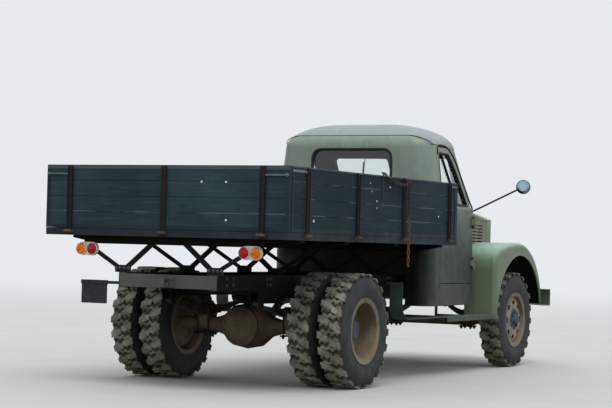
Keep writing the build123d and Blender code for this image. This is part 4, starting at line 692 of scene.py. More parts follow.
def fender_region(place, normal):
    """Paint 0 outside, and the near-black inside 1, whose faces look at the wheel."""
    side = 1 if place.y > 0 else -1
    mirrored = Vector((place.x, side * place.y, place.z))
    outward = Vector((normal.x, side * normal.y, normal.z))
    return outward.dot(ARCH_MIDDLE - mirrored) > 0 and (mirrored.y < FLANGE_Y or outward.y < FACING_IN)


def tyre_region(place, normal):
    """Sidewall 0 and lugs 1."""
    return hub_distance(place) > LUG_FOOT


def front_wheel_region(place, normal):
    """Disc 0, rim lip 1, hub and nuts 2, holes 3 and rim well 4 of a front wheel."""
    reach = hub_distance(place)
    if reach > RIM_EDGE:
        return 1
    if reach < HUB_EDGE or (reach < NUT_EDGE and abs(place.y) > NUT_OUT):
        return 2
    if abs(normal.y) < 0.5 and HAND_HOLES[0] < reach < HAND_HOLES[1]:
        return 3
    return 0 if reach < DISC_EDGE else 4


def rear_wheel_region(place, normal):
    """Disc and drum 0, rim lip 1, hub and nuts 2 of the rear wheels."""
    reach, out = hub_distance(place), abs(place.y)
    if reach > RIM_EDGE:
        return 1
    on_hub = reach < REAR_HUB_EDGE and out > REAR_HUB_OUT
    on_nuts = REAR_NUTS[0] < reach < REAR_NUTS[1] and REAR_NUTS_Y[0] < out < REAR_NUTS_Y[1]
    return 2 if on_hub or on_nuts else 0


def cab_region(place, normal):
    """Outer paint 0 and the darker inside 1 of a cab panel."""
    rear, front, half_rear, _, nose = cab_line(place.z)
    inset = min(place.x - rear, front + nose - place.x, half_rear - abs(place.y))
    inward = (CAB_MIDDLE - place).dot(normal) > 0
    return inward and inset > CAB_WALL and CAB_INSIDE_Z[0] < place.z < CAB_INSIDE_Z[1]


def door_region(place, normal):
    """Outer paint 0, inside 1, hinges 2 and handle 3 of a door."""
    if on_door_hinge(place, normal):
        return 2
    return 3 if on_door_handle(place, normal) else cab_region(place, normal)


def cowl_region(place, normal):
    """Outer paint 0, inside 1 and hinges 2 of the cowl."""
    return 2 if on_cowl_hinge(place, normal) else cab_region(place, normal)


def roof_region(place, normal):
    """Outer paint 0 and headlining 1."""
    return normal.z < -0.2 or cab_region(place, normal)


def lamp_region(place, normal):
    """Plate 0, amber lens 1 on the outer side and red lens 2 on the inner side."""
    if place.x > LENS_FOOT_X:
        return 0
    return 1 if abs(place.y) > LENS_PARTING_Y else 2


def headlamp_region(place, normal):
    """Bowl 0 and glass 1."""
    reach = math.hypot(abs(place.y) - HEADLAMP_Y, place.z - HEADLAMP_Z)
    return place.x > HEADLAMP_GLASS_X and reach < HEADLAMP_GLASS


def grille_region(place, normal):
    """Frame and bars 0, and the dark radiator core 1."""
    return normal.x > 0.5 and on_radiator(place, normal)


print("regions ready")

# %% [markdown]
# One table now dresses the whole truck. Each row names a node, its finishes, the slot of the record that
# it belongs to, the width of its rounded edges and the rule for its regions, if it has one.

# %% Dress every node
CAB = "cab_paint cab_inner_paint hinge_cream cab_trim"
GATE_STEEL = "strap_brown latch_steel pin_rust bed_top_edge"
FRONT_WHEEL = "wheel_blue rim_lip hub_steel hole_brown wheel_paint"
REAR_WHEEL = "wheel_paint rim_lip hub_steel"
# Columns: node, where * stands for left and right, finishes, record slot, edge width in metres, rule
dressing = [
    ("bed_bearers", "bearer_wood", "wood_bearer", 0.004, None),
    ("bed_floor", "bed_paint_floor bed_edge_steel pin_rust", "bed_paint", 0.0015, floor_region),
    ("bed_supports", "frame_black gusset_blue", "frame_black", 0.0015, on_gussets),
    ("cab_cowl", CAB, "cab_paint", 0.003, cowl_region),
    ("cab_floor", "cab_paint", "cab_paint", 0.003, None),
    ("cab_rear", CAB, "cab_paint", 0.003, cab_region),
    ("cab_roof", "roof_paint cab_inner_paint", "cab_paint", 0.003, roof_region),
    ("dashboard", "cab_inner_paint", "cab_paint", 0.004, None),
    ("door_*", CAB, "cab_paint", 0.003, door_region),
    ("drive_shaft", "axle_rust", "axle_rust", 0.002, None),
    ("engine", "axle_rust", "axle_rust", 0.006, None),
    ("frame_crossmembers", "frame_black frame_grey", "frame_black", 0.002, on_rear_crossmember),
    ("frame_rails", "frame_black gusset_blue", "frame_black", 0.002, on_rail_ends),
    ("front_axle", "axle_rust", "axle_rust", 0.004, None),
    ("front_bumper", "fender_paint", "fender_paint", 0.004, None),
    ("front_fenders", "fender_paint frame_black", "fender_paint", 0.002, fender_region),
    ("front_springs", "spring_rust", "axle_rust", 0.0015, None),
    ("front_tyre_*", "sidewall_rubber tread_rubber", "rubber_tyre", 0.004, tyre_region),
    ("front_wheel_*", FRONT_WHEEL, "wheel_paint", 0.002, front_wheel_region),
    ("fuel_tank", "frame_black", "frame_black", 0.004, None),
    ("gate_chain", "chain_rust", "chain_rust", 0.0012, None),
    ("grille", "fender_paint cab_trim", "fender_paint", 0.003, grille_region),
    ("headboard", "bed_paint_ends", "bed_paint", 0.002, None),
    ("headlamps", "fender_paint headlamp_lens", "fender_paint", 0.002, headlamp_region),
    ("hood_lid", "cab_paint", "cab_paint", 0.002, None),
    ("hood_sides", "cab_paint louvre_brown", "cab_paint", 0.002, on_louvres),
    ("knuckle_*", "axle_rust", "axle_rust", 0.002, None),
    ("mirrors", "mirror_case", "mirror_glass", 0.002, None),
    ("plate_bracket", "blank_plate", "frame_black", 0.001, None),
    ("rear_axle", "axle_rust", "axle_rust", 0.004, None),
    ("rear_springs", "spring_rust", "axle_rust", 0.0015, None),
    ("rear_tyres_*", "sidewall_rubber tread_rubber", "rubber_tyre", 0.004, tyre_region),
    ("rear_wheels_*", REAR_WHEEL, "wheel_paint", 0.002, rear_wheel_region),
    ("running_boards", "running_board_green", "fender_paint", 0.0015, None),
    ("side_gate_*", "bed_paint_sides " + GATE_STEEL, "bed_paint", 0.0015, gate_region),
    ("steering_wheel", "cab_trim", "cab_trim", 0.002, None),
    ("tailgate", "bed_paint_ends " + GATE_STEEL, "bed_paint", 0.0015, tail_region),
    ("tail_lamps", "lamp_plate amber_lens red_lens", "lamp_lens", 0.0015, lamp_region),
    ("tow_hook", "frame_grey", "frame_black", 0.003, None),
]
dressed = {}
for nodes, finishes, slot, edge, choose in dressing:
    for hand in ("left", "right") if "*" in nodes else ("",):
        node = nodes.replace("*", hand)
        dressed[node] = dress(node, finishes, edge, choose)
for node in ("cab_glass", "door_glass_left", "door_glass_right"):
    pane = frame["nodes"][node]
    pane.data.materials.clear()
    pane.data.materials.append(FINISHES["window_glass"])
print("dressed", len(dressed), "faces", sum(len(piece.data.polygons) for piece in dressed.values()))

# %% [markdown]
# Trim is made of five kinds of piece: strips that follow a line on a wall, flat bars, bolts, turned forms
# and round rods. Each kind gets one helper, and like pieces on one body go into one mesh, because they are
# easier to handle together.

# %% Helpers for trim
HANDS = (("left", 1), ("right", -1))
STRIP_TURNS, ROD_SIDES = 8, 10
WASHER_HEIGHT, WASHER_REACH, WASHER_SIDES, HEAD_SIDES = 0.22, 1.55, 20, 6


def new_piece(name, form, finish, body, edge=0.0):
    """Turns a finished form into a piece of the scene."""
    mesh = bpy.data.meshes.new(name)
    bmesh.ops.recalc_face_normals(form, faces=form.faces)
    form.to_mesh(mesh)
    form.free()
    piece = bpy.data.objects.new(name, mesh)
    scene.collection.objects.link(piece)
    rounded(piece, edge)
    return settle(piece, finish, body)


def bridge(form, rings, closed=True):
    """Joins each ring of points to the next, then the last to the first, or else closes both ends."""
    for first, second in zip(rings, rings[1:] + (rings[:1] if closed else [])):
        for corner in range(len(first)):
            following = (corner + 1) % len(first)
            form.faces.new((first[corner], first[following], second[following], second[corner]))
    if not closed:
        form.faces.new(rings[0])
        form.faces.new(rings[-1])


def add_strip(form, points, outwards, width, proud, closed=True, sunk=0.003):
    """A strip with a rounded back along a line of points, standing proud of the wall by a height."""
    rings = []
    count = len(points)
    for index, (point, outward) in enumerate(zip(points, outwards)):
        before = points[index - 1] if closed or index else point
        after = points[(index + 1) % count] if closed or index < count - 1 else point
        run = (after - before).normalized()
        across = run.cross(outward).normalized()
        up = across.cross(run).normalized()
        profile = [(width / 2 * math.cos(angle), proud * math.sin(angle))
                   for angle in (math.pi * turn / (STRIP_TURNS - 1) for turn in range(STRIP_TURNS))]
        profile += [(-width / 2, -sunk), (width / 2, -sunk)]
        rings.append([form.verts.new(point + across * aside + up * rise) for aside, rise in profile])
    bridge(form, rings, closed)


def softened(corners, radius, steps=5):
    """An outline of two coordinates with its corners rounded."""
    outline = []
    count = len(corners)
    for index, corner in enumerate(corners):
        here = Vector(corner)
        before = Vector(corners[index - 1]) - here
        after = Vector(corners[(index + 1) % count]) - here
        start = here + before.normalized() * min(radius, before.length * 0.45)
        end = here + after.normalized() * min(radius, after.length * 0.45)
        for step in range(steps + 1):
            share = step / steps
            outline.append(start * (1 - share) ** 2 + here * 2 * share * (1 - share) + end * share**2)
    return outline


def add_bar(form, low, high):
    """A block between two corners."""
    for vertex in bmesh.ops.create_cube(form, size=1)["verts"]:
        vertex.co = Vector([low[k] + (high[k] - low[k]) * (vertex.co[k] + 0.5) for k in range(3)])


def full_turn(steps):
    """The angles of even steps round a circle."""
    return [2 * math.pi * step / steps for step in range(steps)]


def face_at(place, direction):
    """A matrix that sets a form down at a place with its own Z along a direction."""
    return Matrix.Translation(Vector(place)) @ Vector(direction).to_track_quat("Z", "Y").to_matrix().to_4x4()


def add_bolt(form, place, direction, radius, height):
    """A hexagonal head on a washer."""
    washer = height * WASHER_HEIGHT
    for reach, low, high, sides in ((radius * WASHER_REACH, 0, washer, WASHER_SIDES),
                                    (radius, washer, height, HEAD_SIDES)):
        lift = face_at(place, direction) @ Matrix.Translation((0, 0, (low + high) / 2))
        bmesh.ops.create_cone(form, cap_ends=True, segments=sides, radius1=reach, radius2=reach,
                              depth=high - low, matrix=lift)


def add_turned(form, profile, place, direction, sides=36):
    """A closed profile, points of radius and height, turned about a direction."""
    face = face_at(place, direction)
    bridge(form, [[form.verts.new(face @ Vector((reach * math.cos(turn), reach * math.sin(turn), height)))
                   for turn in full_turn(sides)] for reach, height in profile])


def add_rod(form, points, radius):
    """A round rod along a line of points, with flat ends."""
    rings = []
    for index, point in enumerate(points):
        run = (points[min(len(points) - 1, index + 1)] - points[max(0, index - 1)]).normalized()
        across = (across - run * across.dot(run)).normalized() if rings else run.orthogonal().normalized()
        other = run.cross(across)
        rings.append([form.verts.new(point + (across * math.cos(turn) + other * math.sin(turn)) * radius)
                      for turn in full_turn(ROD_SIDES)])
    bridge(form, rings, False)


print("trim tools ready")

# %% [markdown]
# Window rubber: every pane sits in a black rubber strip that laps over the edge of its opening. The strip
# follows the opening's outline, laid on the wall by the cab's own lines.

# %% Window rubber
SEAL_WIDTH, SEAL_PROUD = 0.026, 0.006
SCREEN_SEAL, DOOR_SEAL = 0.022, 0.020
REAR_WINDOW = [(-0.424, 1.800), (0.424, 1.800), (0.424, 2.150), (-0.424, 2.150)]
SCREEN = [(0.040, 1.738), (0.630, 1.738), (0.630, 2.118), (0.040, 2.118)]
DOOR_WINDOW = [(0.562, 1.640), (1.262, 1.640), (1.040, 1.950), (0.930, 2.066), (0.850, 2.133),
               (0.590, 2.133), (0.562, 2.105)]
POST_FOOT, POST_RUN, POST_STEPS = (0.658, 2.130), (0.352, -0.488), 6
WALL_FACES = (0.06, 0.10)


def add_wall_strip(form, line, side, width, proud, closed=True, sunk=0.003, inset=0.0):
    """A strip along a line of X and Z on the cab's side wall."""
    points = [Vector((x, wall_y(x, z, side) - side * inset, z)) for x, z in line]
    outwards = [Vector((WALL_FACES[0], side, WALL_FACES[1])).normalized()] * len(points)
    add_strip(form, points, outwards, width, proud, closed, sunk)


rubber = bmesh.new()
outline = softened(REAR_WINDOW, 0.10, 8)
add_strip(rubber, [Vector((cab_line(z)[0] - 0.001, y, z)) for y, z in outline],
          [Vector((-1, 0, 0.02))] * len(outline), SEAL_WIDTH, SEAL_PROUD)
for side in (1, -1):
    outline = softened([(side * y, z) for y, z in SCREEN], 0.055)
    outward = Vector((1, side * 0.07, 0.65)).normalized()
    points = [Vector((front_x(y, z), y, z)) for y, z in outline]
    add_strip(rubber, points, [outward] * len(outline), SCREEN_SEAL, SEAL_PROUD)
new_piece("window_seals", rubber, "seal_rubber", "chassis")
post = [(POST_FOOT[0] + POST_RUN[0] * step / POST_STEPS, POST_FOOT[1] + POST_RUN[1] * step / POST_STEPS)
        for step in range(POST_STEPS + 1)]
for hand, side in HANDS:
    rubber = bmesh.new()
    add_wall_strip(rubber, softened(DOOR_WINDOW, 0.030), side, DOOR_SEAL, 0.004)
    add_wall_strip(rubber, post, side, DOOR_SEAL, 0.012, False, 0.014, 0.012)
    new_piece("door_seal_" + hand, rubber, "seal_rubber", "door_body_" + hand)
print("window rubber ready")

# %% [markdown]
# A gutter runs over each door and down the front pillar, and a thin joint shows where the roof panel was
# welded to the back. Both are narrow strips on the outer skin.

# %% Gutters, roof joint and wiper
GUTTER = [(0.528, 2.120), (0.532, 2.180), (0.575, 2.206), (0.645, 2.213), (0.740, 2.212), (0.811, 2.204),
          (0.905, 2.168), (0.989, 2.118), (1.055, 2.050), (1.119, 1.974), (1.220, 1.838), (1.322, 1.702),
          (1.392, 1.612)]
JOINT_Z, JOINT_DROP, JOINT_END_Z = 2.2855, 0.076, 2.208
ROOF_MIDDLE_X, JOINT_RISE = 0.75, 0.55
GUTTER_WIDTH, GUTTER_PROUD, JOINT_WIDTH, JOINT_PROUD = 0.016, 0.010, 0.007, 0.003
CORNER, CORNER_STEPS = 0.135, 18
WIPER_BLADE, WIPER_ARM = ((0.300, 2.128), (0.345, 2.00), (0.392, 1.86)), ((0.330, 2.075), (0.420, 1.775))
gutters = bmesh.new()
for side in (1, -1):
    add_wall_strip(gutters, GUTTER, side, GUTTER_WIDTH, GUTTER_PROUD, False)
new_piece("door_gutters", gutters, "seal_rubber", "chassis")
bend = []
for step in range(CORNER_STEPS + 1):
    turn = math.radians(90 * step / CORNER_STEPS)
    z = JOINT_Z - JOINT_DROP * (step / CORNER_STEPS) ** 1.6
    rear, _, half_rear, _ = roof_sizes(1 - math.sqrt(1 - ((z - EAVE) / (ROOF_TOP - EAVE)) ** 2))
    bend.append((rear + CORNER - CORNER * math.cos(turn), half_rear - CORNER + CORNER * math.sin(turn), z))
bend += [(x, wall_y(x, JOINT_END_Z, 1), JOINT_END_Z) for x in (0.44, 0.50, 0.545)]
points = [Vector((x, -y, z)) for x, y, z in reversed(bend)] + [Vector(point) for point in bend]
outwards = [Vector((point.x - ROOF_MIDDLE_X, point.y, JOINT_RISE)).normalized() for point in points]
joint = bmesh.new()
add_strip(joint, points, outwards, JOINT_WIDTH, JOINT_PROUD, False)
new_piece("roof_joint", joint, "seal_rubber", "chassis")
wiper = bmesh.new()
for line, lift, radius in ((WIPER_BLADE, 0.016, 0.004), (WIPER_ARM, 0.010, 0.006)):
    add_rod(wiper, [Vector((front_x(y, z) + lift, y, z)) for y, z in line], radius)
new_piece("windscreen_wiper", wiper, "cab_trim", "chassis")
print("gutters, joint and wiper ready")

# %% [markdown]
# The gates have a steel frame round the boards, and each strap is a pressed channel, so two thin ribs
# stand out along its edges. Both are flat bars laid on the outer faces.

# %% Gate frames and strap ribs
SIDE_STRAPS, TAIL_STRAPS = (-2.895, -1.975, -1.041, -0.011), (-0.905, 0.0, 0.905)
STRAP_LOW, STRAP_TOP, STRAP_HALF = 1.300, 1.807, 0.023
RIB, RIB_REACH = 0.008, (0.0115, 0.0190)
FRAME_LOW, FRAME_SUNK, POST, BAR_REACH = 0.026, 0.0035, 0.030, (-0.0005, 0.004)
SIDE_FACE, TAIL_FACE = 1.140, 3.200
SIDE_ENDS, TAIL_ENDS = (-3.160, 0.155), (-1.140, 1.140)
SIDE_TOP_BAR, TAIL_TOP_BAR, LATCH_ROOM = 0.014, 0.034, 0.012


def dress_gate(names, body, straps, ends, top_bar, post_top, place):
    """Ribs, border and top bar of a gate. Place turns a point along, out and up into X, Y and Z."""
    ribs, border, top_bars = bmesh.new(), bmesh.new(), bmesh.new()

    def lay(form, start, end, reach, low, high):
        """One bar on the gate's outer face."""
        corners = place(start, reach[0], low), place(end, reach[1], high)
        add_bar(form, [min(pair) for pair in zip(*corners)], [max(pair) for pair in zip(*corners)])

    for strap in straps:
        for start in (strap - STRAP_HALF, strap + STRAP_HALF - RIB):
            lay(ribs, start, start + RIB, RIB_REACH, STRAP_LOW, STRAP_TOP)
    edges = [strap + shift for strap in straps for shift in (-STRAP_HALF, STRAP_HALF)]
    stops = [ends[0]] + edges + [ends[1]]
    for start, end in zip(stops[::2], stops[1::2]):
        lay(top_bars, start, end, BAR_REACH, GATE_TOP - top_bar, GATE_TOP - 0.0005)
        lay(border, start, end, BAR_REACH, GATE_LOW - FRAME_SUNK, GATE_LOW + FRAME_LOW)
    for start in (ends[0], ends[1] - POST):
        lay(border, start, start + POST, BAR_REACH, GATE_LOW + FRAME_LOW, post_top)
    new_piece(names[0], ribs, "strap_brown", body, 0.0012)
    new_piece(names[1], border, "bed_edge_steel", body, 0.001)
    # The top bars take the pale top-edge paint, a painted highlight of the sky.
    new_piece(names[2], top_bars, "bed_top_edge", body, 0.001)


for hand, side in HANDS:
    names = [name + hand for name in ("strap_ribs_", "gate_border_", "gate_top_bar_")]
    dress_gate(names, "gate_body_" + hand, SIDE_STRAPS, SIDE_ENDS, SIDE_TOP_BAR, LATCH_Z - LATCH_ROOM,
               lambda along, out, up: (along, side * (SIDE_FACE + out), up))
dress_gate(("tail_ribs", "tail_border", "tail_top_bar"), "rear_gate", TAIL_STRAPS, TAIL_ENDS, TAIL_TOP_BAR,
           GATE_TOP - TAIL_TOP_BAR, lambda along, out, up: (-TAIL_FACE - out, along, up))
print("gate frames ready")

# %% [markdown]
# The tailgate is held by a flat latch bar at each end, and a few pale bolt heads show on the boards where
# something was once screwed on.

# %% Latches and bolt heads
LATCH_NEAR, LATCH_FAR, LATCH_BAR, LATCH_BOLT = 0.928, 1.136, (1.740, 1.752), (1.118, 1.746)
LATCH_OUT, LATCH_FACE, BOARD_FACE, GATE_FACE = -3.211, -3.2035, -3.2002, -1.1402
TAIL_HEADS = ((-0.347, 1.688), (-0.571, 1.687), (-0.578, 1.385))
# Columns: X, Z and radius of a bolt head on the right gate
GATE_HEADS = ((-2.775, 1.397, 0.013), (-1.331, 1.726, 0.011), (-1.596, 1.595, 0.010), (-1.593, 1.535, 0.008),
              (-0.250, 1.499, 0.010), (-1.700, 1.675, 0.007), (-1.732, 1.745, 0.007))
latches = bmesh.new()
for side in (1, -1):
    near, far = sorted((side * LATCH_NEAR, side * LATCH_FAR))
    add_bar(latches, (LATCH_OUT, near, LATCH_BAR[0]), (LATCH_FACE, far, LATCH_BAR[1]))
    add_bolt(latches, (-3.204, side * LATCH_BOLT[0], LATCH_BOLT[1]), (-1, 0, 0), 0.010, 0.016)
new_piece("tail_latches", latches, "latch_steel", "rear_gate", 0.001)
heads = bmesh.new()
for y, z in TAIL_HEADS:
    profile = [(0.0, 0.0), (0.010, 0.0), (0.009, 0.003), (0.0, 0.0045)]
    add_turned(heads, profile, (BOARD_FACE, y, z), (-1, 0, 0), 16)
new_piece("tail_bolt_heads", heads, "bolt_white", "rear_gate")
heads = bmesh.new()
for x, z, reach in GATE_HEADS:
    profile = [(0.0, 0.0), (reach, 0.0), (reach - 0.001, 0.002), (0.0, 0.003)]
    add_turned(heads, profile, (x, GATE_FACE, z), (0, -1, 0), 16)
new_piece("gate_bolt_heads", heads, "bolt_white", "gate_body_right")
print("latches ready")

# %% [markdown]
# A tail lamp is a pale pressed plate with two round lenses. Each lens is a shallow dome with two pressed
# rings, turned like a bowl on a lathe, and a thin metal rim holds it on the plate.

# %% Tail lamp lenses
LAMP_FACE_X, LAMP_Z, RED_Y, AMBER_Y = -3.1453, 1.130, 0.716, 0.824
LENS_PROFILE = [(0.0, -0.006), (0.0455, -0.006), (0.0455, 0.002), (0.042, 0.006), (0.030, 0.0095),
                (0.027, 0.0085), (0.012, 0.0125), (0.0, 0.0135)]
RIM_PROFILE = [(0.0455, -0.017), (0.0500, -0.017), (0.0500, -0.002), (0.0475, 0.003), (0.0455, 0.003)]
for name, finish, profile, places in (("amber_lenses", "amber_lens", LENS_PROFILE, (AMBER_Y,)),
                                      ("red_lenses", "red_lens", LENS_PROFILE, (RED_Y,)),
                                      ("lens_rims", "lamp_plate", RIM_PROFILE, (RED_Y, AMBER_Y))):
    lamp_form = bmesh.new()
    for side in (1, -1):
        for y in places:
            add_turned(lamp_form, profile, (LAMP_FACE_X, side * y, LAMP_Z), (-1, 0, 0))
    new_piece(name, lamp_form, finish, "chassis")
print("tail lamps ready")

# %% [markdown]
# The mirror is a round glass in a pressed case on a long arm. The glass is a very shallow bowl, and the
# case behind it is turned from one profile.

# %% Mirrors
MIRROR_X, MIRROR_Y, MIRROR_Z, MIRROR_TURN = 1.375, 1.350, 1.840, 0.12
CASE_PROFILE = [(0.0655, 0.0175), (0.0695, 0.0165), (0.0700, 0.010), (0.0700, -0.013), (0.060, -0.026),
                (0.030, -0.033), (0.0, -0.034), (0.0, 0.012), (0.0655, 0.012)]
GLASS_PROFILE = [(0.0, 0.0125), (0.0650, 0.0125), (0.0650, 0.0150), (0.045, 0.0162), (0.0, 0.0175)]
for name, finish, profile in (("mirror_cases", "mirror_case", CASE_PROFILE),
                              ("mirror_glasses", "mirror_silver", GLASS_PROFILE)):
    mirror_form = bmesh.new()
    for side in (1, -1):
        place = (MIRROR_X, side * MIRROR_Y, MIRROR_Z)
        add_turned(mirror_form, profile, place, (-1, side * MIRROR_TURN, 0), 48)
    new_piece(name, mirror_form, finish, "chassis")
print("mirrors ready")

# %% [markdown]
# Under the truck, bent bolts clamp each spring to its axle over a flat plate, a bolted ring closes the
# back of the axle's round housing, and rows of bolts hold the frame together.

# %% Spring clamps, axle cover and frame bolts
SPRING_Y, PLATE_LIP, PLATE_THICK, BEND = 0.4275, 0.022, 0.012, 0.014
COVER_PROFILE = [(0.0, 0.140), (0.170, 0.146), (0.172, 0.166), (0.148, 0.170), (0.136, 0.192),
                 (0.104, 0.219), (0.052, 0.235), (0.0, 0.239)]
COVER_BOLTS, COVER_BOLT_REACH, COVER_FLANGE_X = 12, 0.160, -1.891
RAIL_BOLT_X = (-2.96, -2.86, -2.28, -2.22, -1.18, -1.12, 0.12, 0.18, 0.99, 1.05)
RAIL_FACE_Y, RAIL_BOLT_Z = 0.465, (0.865, 0.915)
GUSSET_FACE_X, GUSSET_BOLT_Y, GUSSET_BOLT_Z = -3.1052, (0.380, 0.420, 0.460, 0.500), 0.980
HOOK_FACE_X, HOOK_BOLT_Y, HOOK_BOLT_Z = -3.127, 0.055, (0.905, 0.845)


def add_clamp(form, axle_x, top_z, low_z, half_x, half_y, wire):
    """Two U bolts over each spring of an axle, with their plate and nuts."""
    for spring_y in (SPRING_Y, -SPRING_Y):
        for x in (axle_x - half_x, axle_x + half_x):
            half_bend = [(half_y, low_z - PLATE_LIP), (half_y, top_z - 0.012), (half_y - BEND, top_z + wire)]
            bend = [(-y, z) for y, z in half_bend] + half_bend[::-1]
            add_rod(form, [Vector((x, spring_y + y, z)) for y, z in bend], wire)
            for reach in (-half_y, half_y):
                add_bolt(form, (x, spring_y + reach, low_z), (0, 0, -1), 0.014, 0.016)
        plate_x, plate_y = half_x + PLATE_LIP, half_y + PLATE_LIP
        add_bar(form, (axle_x - plate_x, spring_y - plate_y, low_z),
                (axle_x + plate_x, spring_y + plate_y, low_z + PLATE_THICK))


clamps = bmesh.new()
# Columns: axle's X, top of the spring, underside of the plate, half the clamp's length and width, wire
for row in ((REAR_AXLE, 0.654, 0.412, 0.070, 0.052, 0.008), (FRONT_AXLE, 0.563, 0.394, 0.050, 0.052, 0.007)):
    add_clamp(clamps, *row)
new_piece("spring_clamps", clamps, "spring_rust", "chassis")
cover = bmesh.new()
add_turned(cover, COVER_PROFILE, (REAR_AXLE, 0, HUB_HEIGHT), (-1, 0, 0), 48)
for bolt in range(COVER_BOLTS):
    turn = 2 * math.pi * (bolt + 0.5) / COVER_BOLTS
    y, z = COVER_BOLT_REACH * math.cos(turn), HUB_HEIGHT + COVER_BOLT_REACH * math.sin(turn)
    add_bolt(cover, (COVER_FLANGE_X, y, z), (-1, 0, 0), 0.008, 0.012)
new_piece("axle_cover", cover, "axle_rust", "chassis")
frame_bolts = bmesh.new()
for side in (1, -1):
    for x in RAIL_BOLT_X:
        for z in RAIL_BOLT_Z:
            add_bolt(frame_bolts, (x, side * RAIL_FACE_Y, z), (0, side, 0), 0.010, 0.012)
    for y in GUSSET_BOLT_Y:
        add_bolt(frame_bolts, (GUSSET_FACE_X, side * y, GUSSET_BOLT_Z), (-1, 0, 0), 0.009, 0.010)
    for z in HOOK_BOLT_Z:
        add_bolt(frame_bolts, (HOOK_FACE_X, side * HOOK_BOLT_Y, z), (-1, 0, 0), 0.009, 0.010)
new_piece("frame_bolts", frame_bolts, "frame_grey", "chassis")
print("clamps, cover and bolts ready")

# %% [markdown]
# Between the big shoulder lugs an old all-terrain tyre has a finer zigzag pattern. It is a band round the
# tyre whose points are lifted where the zigzag runs, which is quicker and lighter than cutting grooves.

# %% Fine tread between the lugs
BAND_LOW, BAND_FLOOR, BAND_RISE, BAND_HALF = 0.455, 0.470, 0.013, 0.090
ZIGZAGS, ZIGZAG_WIDTH, ZIGZAG_SWING, ZIGZAG_STEEP = 44, 0.060, 0.9, 1.6
ROUND_STEPS, ROWS = 352, 14
TYRES = {"front": (FRONT_AXLE, (0.85,)), "rear": (REAR_AXLE, (0.724, 1.014))}


def tread_point(row, step):
    """A point's place across the tyre and reach from the axle. The first and last row close the band."""
    y = BAND_HALF * (2 * min(max(row, 0), ROWS) / ROWS - 1)
    if not 0 <= row <= ROWS:
        return y, BAND_LOW
    shift = abs(((y / ZIGZAG_WIDTH) % 1) - 0.5) * ZIGZAG_SWING
    wave = math.sin(2 * math.pi * (step * ZIGZAGS / ROUND_STEPS + shift))
    return y, BAND_FLOOR + BAND_RISE * min(1.0, max(0.0, 0.5 + ZIGZAG_STEEP * wave))


for hand, side in HANDS:
    for axle, (axle_x, centres) in TYRES.items():
        form = bmesh.new()
        for centre in centres:
            rings = []
            for step, angle in enumerate(full_turn(ROUND_STEPS)):
                points = [tread_point(row, step) for row in range(-1, ROWS + 2)]
                rings.append([form.verts.new((axle_x + reach * math.cos(angle), side * centre + y,
                                              HUB_HEIGHT + reach * math.sin(angle))) for y, reach in points])
            bridge(form, rings)
        # The tread finish paints shade into the low points between the zigzags.
        new_piece(axle + "_tread_" + hand, form, "tread_rubber", axle + "_wheel_body_" + hand)
print("fine tread ready")

# %% [markdown]
# The bench has a sprung cushion and a padded back, both covered in leathercloth sewn into wide flutes. A
# pad is a closed block pushed out to a crown, with its edges rounded, and each seam pulls a groove into it.
# It is shaped by moving the points of a fine grid, which suits a firm sprung pad better than loose cloth.

# %% Bench seat
PAD_CUTS, PAD_SQUARENESS = 40, 9.0
FLUTES, FLUTE_DEPTH, SEAM_PINCH, FACE_START = 9, 0.010, 3.2, 0.4


def pad(name, low, high, crown, lean=0.0):
    """A sewn pad between two corners, with a crown on its face and flutes that run fore and aft."""
    form = bmesh.new()
    bmesh.ops.create_cube(form, size=2)
    bmesh.ops.subdivide_edges(form, edges=form.edges[:], cuts=PAD_CUTS, use_grid_fill=True)
    low, high = Vector(low), Vector(high)
    middle, half = (low + high) / 2, (high - low) / 2
    thin, wide = (2, 0) if half.z < half.x else (0, 2)
    for vertex in form.verts:
        unit = vertex.co.copy()
        size = sum(abs(part) ** PAD_SQUARENESS for part in unit) ** (1 / PAD_SQUARENESS)
        unit *= max(abs(part) for part in unit) / size
        flute = abs(((unit.y * FLUTES / 2) % 1) - 0.5) * 2
        groove = FLUTE_DEPTH * (1 - min(1.0, flute * SEAM_PINCH)) ** 2
        swell = crown * (1 - unit.y**4) * (1 - unit[wide] ** 2)
        place = Vector([middle[k] + unit[k] * half[k] for k in range(3)])
        if unit[thin] > FACE_START:
            place[thin] -= crown - swell + groove
        place.x -= lean * max(0.0, (place.z - low.z) / (high.z - low.z))
        vertex.co = place
    piece = new_piece(name, form, "seat_cover", "chassis")
    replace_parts(piece, "seat")


pad("seat_cushion", (0.372, -0.638, 1.182), (0.878, 0.638, 1.330), 0.022)
pad("seat_back", (0.342, -0.638, 1.334), (0.452, 0.638, 1.760), 0.018, 0.040)
box_form = bmesh.new()
add_bar(box_form, (0.390, -0.620, 0.9755), (0.860, 0.620, 1.178))
for y in (-0.40, 0.0, 0.40):
    add_bar(box_form, (0.856, y - 0.17, 1.000), (0.866, y + 0.17, 1.150))
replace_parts(new_piece("seat_box", box_form, "cab_inner_paint", "chassis", 0.006), "seat")
print("bench ready")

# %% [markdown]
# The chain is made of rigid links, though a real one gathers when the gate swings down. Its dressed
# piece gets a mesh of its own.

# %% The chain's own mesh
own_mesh(dressed["gate_chain"])

# %% [markdown]
# The truck stands on a plain pale floor under soft light. The world is an overcast sky, brighter above
# than at its rim, and the camera sees it as a pale backdrop. The floor shows pale too but
# throws back only as much light as dull ground would, so the underside stays as dark as it is outdoors.
# One broad sun gives the panels some shape.

# %% Floor and light
BACKDROP = (0.80, 0.83, 0.85)
FLOOR_SHOWN = (0.50, 0.49, 0.46)
FLOOR_LIT = (0.30, 0.29, 0.24)
FLOOR_REACH, FADE_START, FADE_END = 160, 7, 42
SKY_RIM, SKY_TOP, SKY_STRENGTH = (1.00, 1.04, 1.08), (1.12, 1.20, 1.28), 0.84
SUN_FROM, SUN_SPREAD, SUN_STRENGTH = (-0.50, -0.30, 1.0), math.radians(35), 1.3


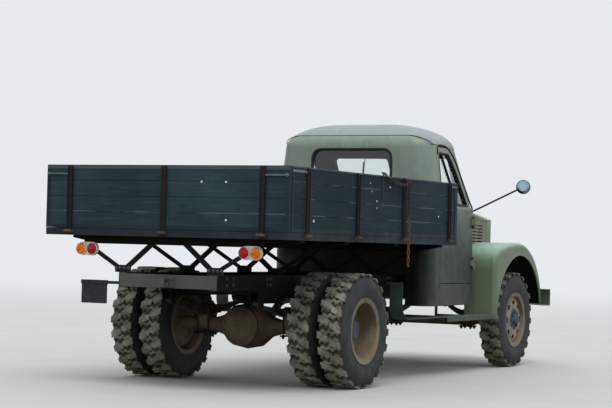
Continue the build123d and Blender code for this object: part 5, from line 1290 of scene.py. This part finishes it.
def seen_directly(tree):
    """1 for rays from the camera and through glass, 0 for the light that falls on the truck."""
    rays = add_node(tree, "LightPath", {}).outputs
    return reckon("MAXIMUM", rays["Is Camera Ray"], rays["Is Transmission Ray"])


def show(tree, share, first, second, end):
    """Sends a mix of two shaders to the tree's output."""
    blend = add_node(tree, "MixShader", {0: share, 1: first.outputs[0], 2: second.outputs[0]})
    tree.links.new(blend.outputs[0], tree.nodes[end].inputs["Surface"])


floor_mesh = bpy.data.meshes.new("floor")
corners = [(x * FLOOR_REACH, y * FLOOR_REACH, 0) for x, y in ((-1, -1), (1, -1), (1, 1), (-1, 1))]
floor_mesh.from_pydata(corners, [], [(0, 1, 2, 3)])
floor = bpy.data.objects.new("floor", floor_mesh)
scene.collection.objects.link(floor)
shader, place = start_finish("floor_finish")
floor_tree = place.id_data
shown = mixed(band(pattern(place, 1.2, 6), 0.3, 0.7), FLOOR_SHOWN, shade(FLOOR_SHOWN, 1.06))
tone = mixed(seen_directly(floor_tree), FLOOR_LIT, shown)
feed(shader, {"Base Color": tone, "Roughness": 0.95, "Specular IOR Level": 0.1})
distance = add_node(floor_tree, "VectorMath", {0: place}, operation="LENGTH").outputs["Value"]
far_share = times(band(distance, FADE_START, FADE_END), seen_directly(floor_tree))
show(floor_tree, far_share, shader, add_node(floor_tree, "Emission", {"Color": BACKDROP}), "Material Output")
floor_mesh.materials.append(FINISHES["floor_finish"])

world = bpy.data.worlds.new("overcast")
scene.world = world
world.use_nodes = True
sky_tree = world.node_tree
upward = axis_of(add_node(sky_tree, "TexCoord", {}).outputs["Generated"], "Z")
sky = sky_tree.nodes["Background"]
feed(sky, {"Color": mixed(band(upward, 0.0, 0.9), SKY_RIM, SKY_TOP), "Strength": SKY_STRENGTH})
plain_sky = add_node(sky_tree, "Background", {"Color": BACKDROP})
show(sky_tree, seen_directly(sky_tree), sky, plain_sky, "World Output")

sun_light = bpy.data.lights.new("soft_sun", "SUN")
sun_light.energy = SUN_STRENGTH
sun_light.angle = SUN_SPREAD
sun = bpy.data.objects.new("soft_sun", sun_light)
sun.matrix_world = face_at((0, 0, 0), SUN_FROM)
scene.collection.objects.link(sun)
scene.view_settings.view_transform = "Standard"
print("stage ready")
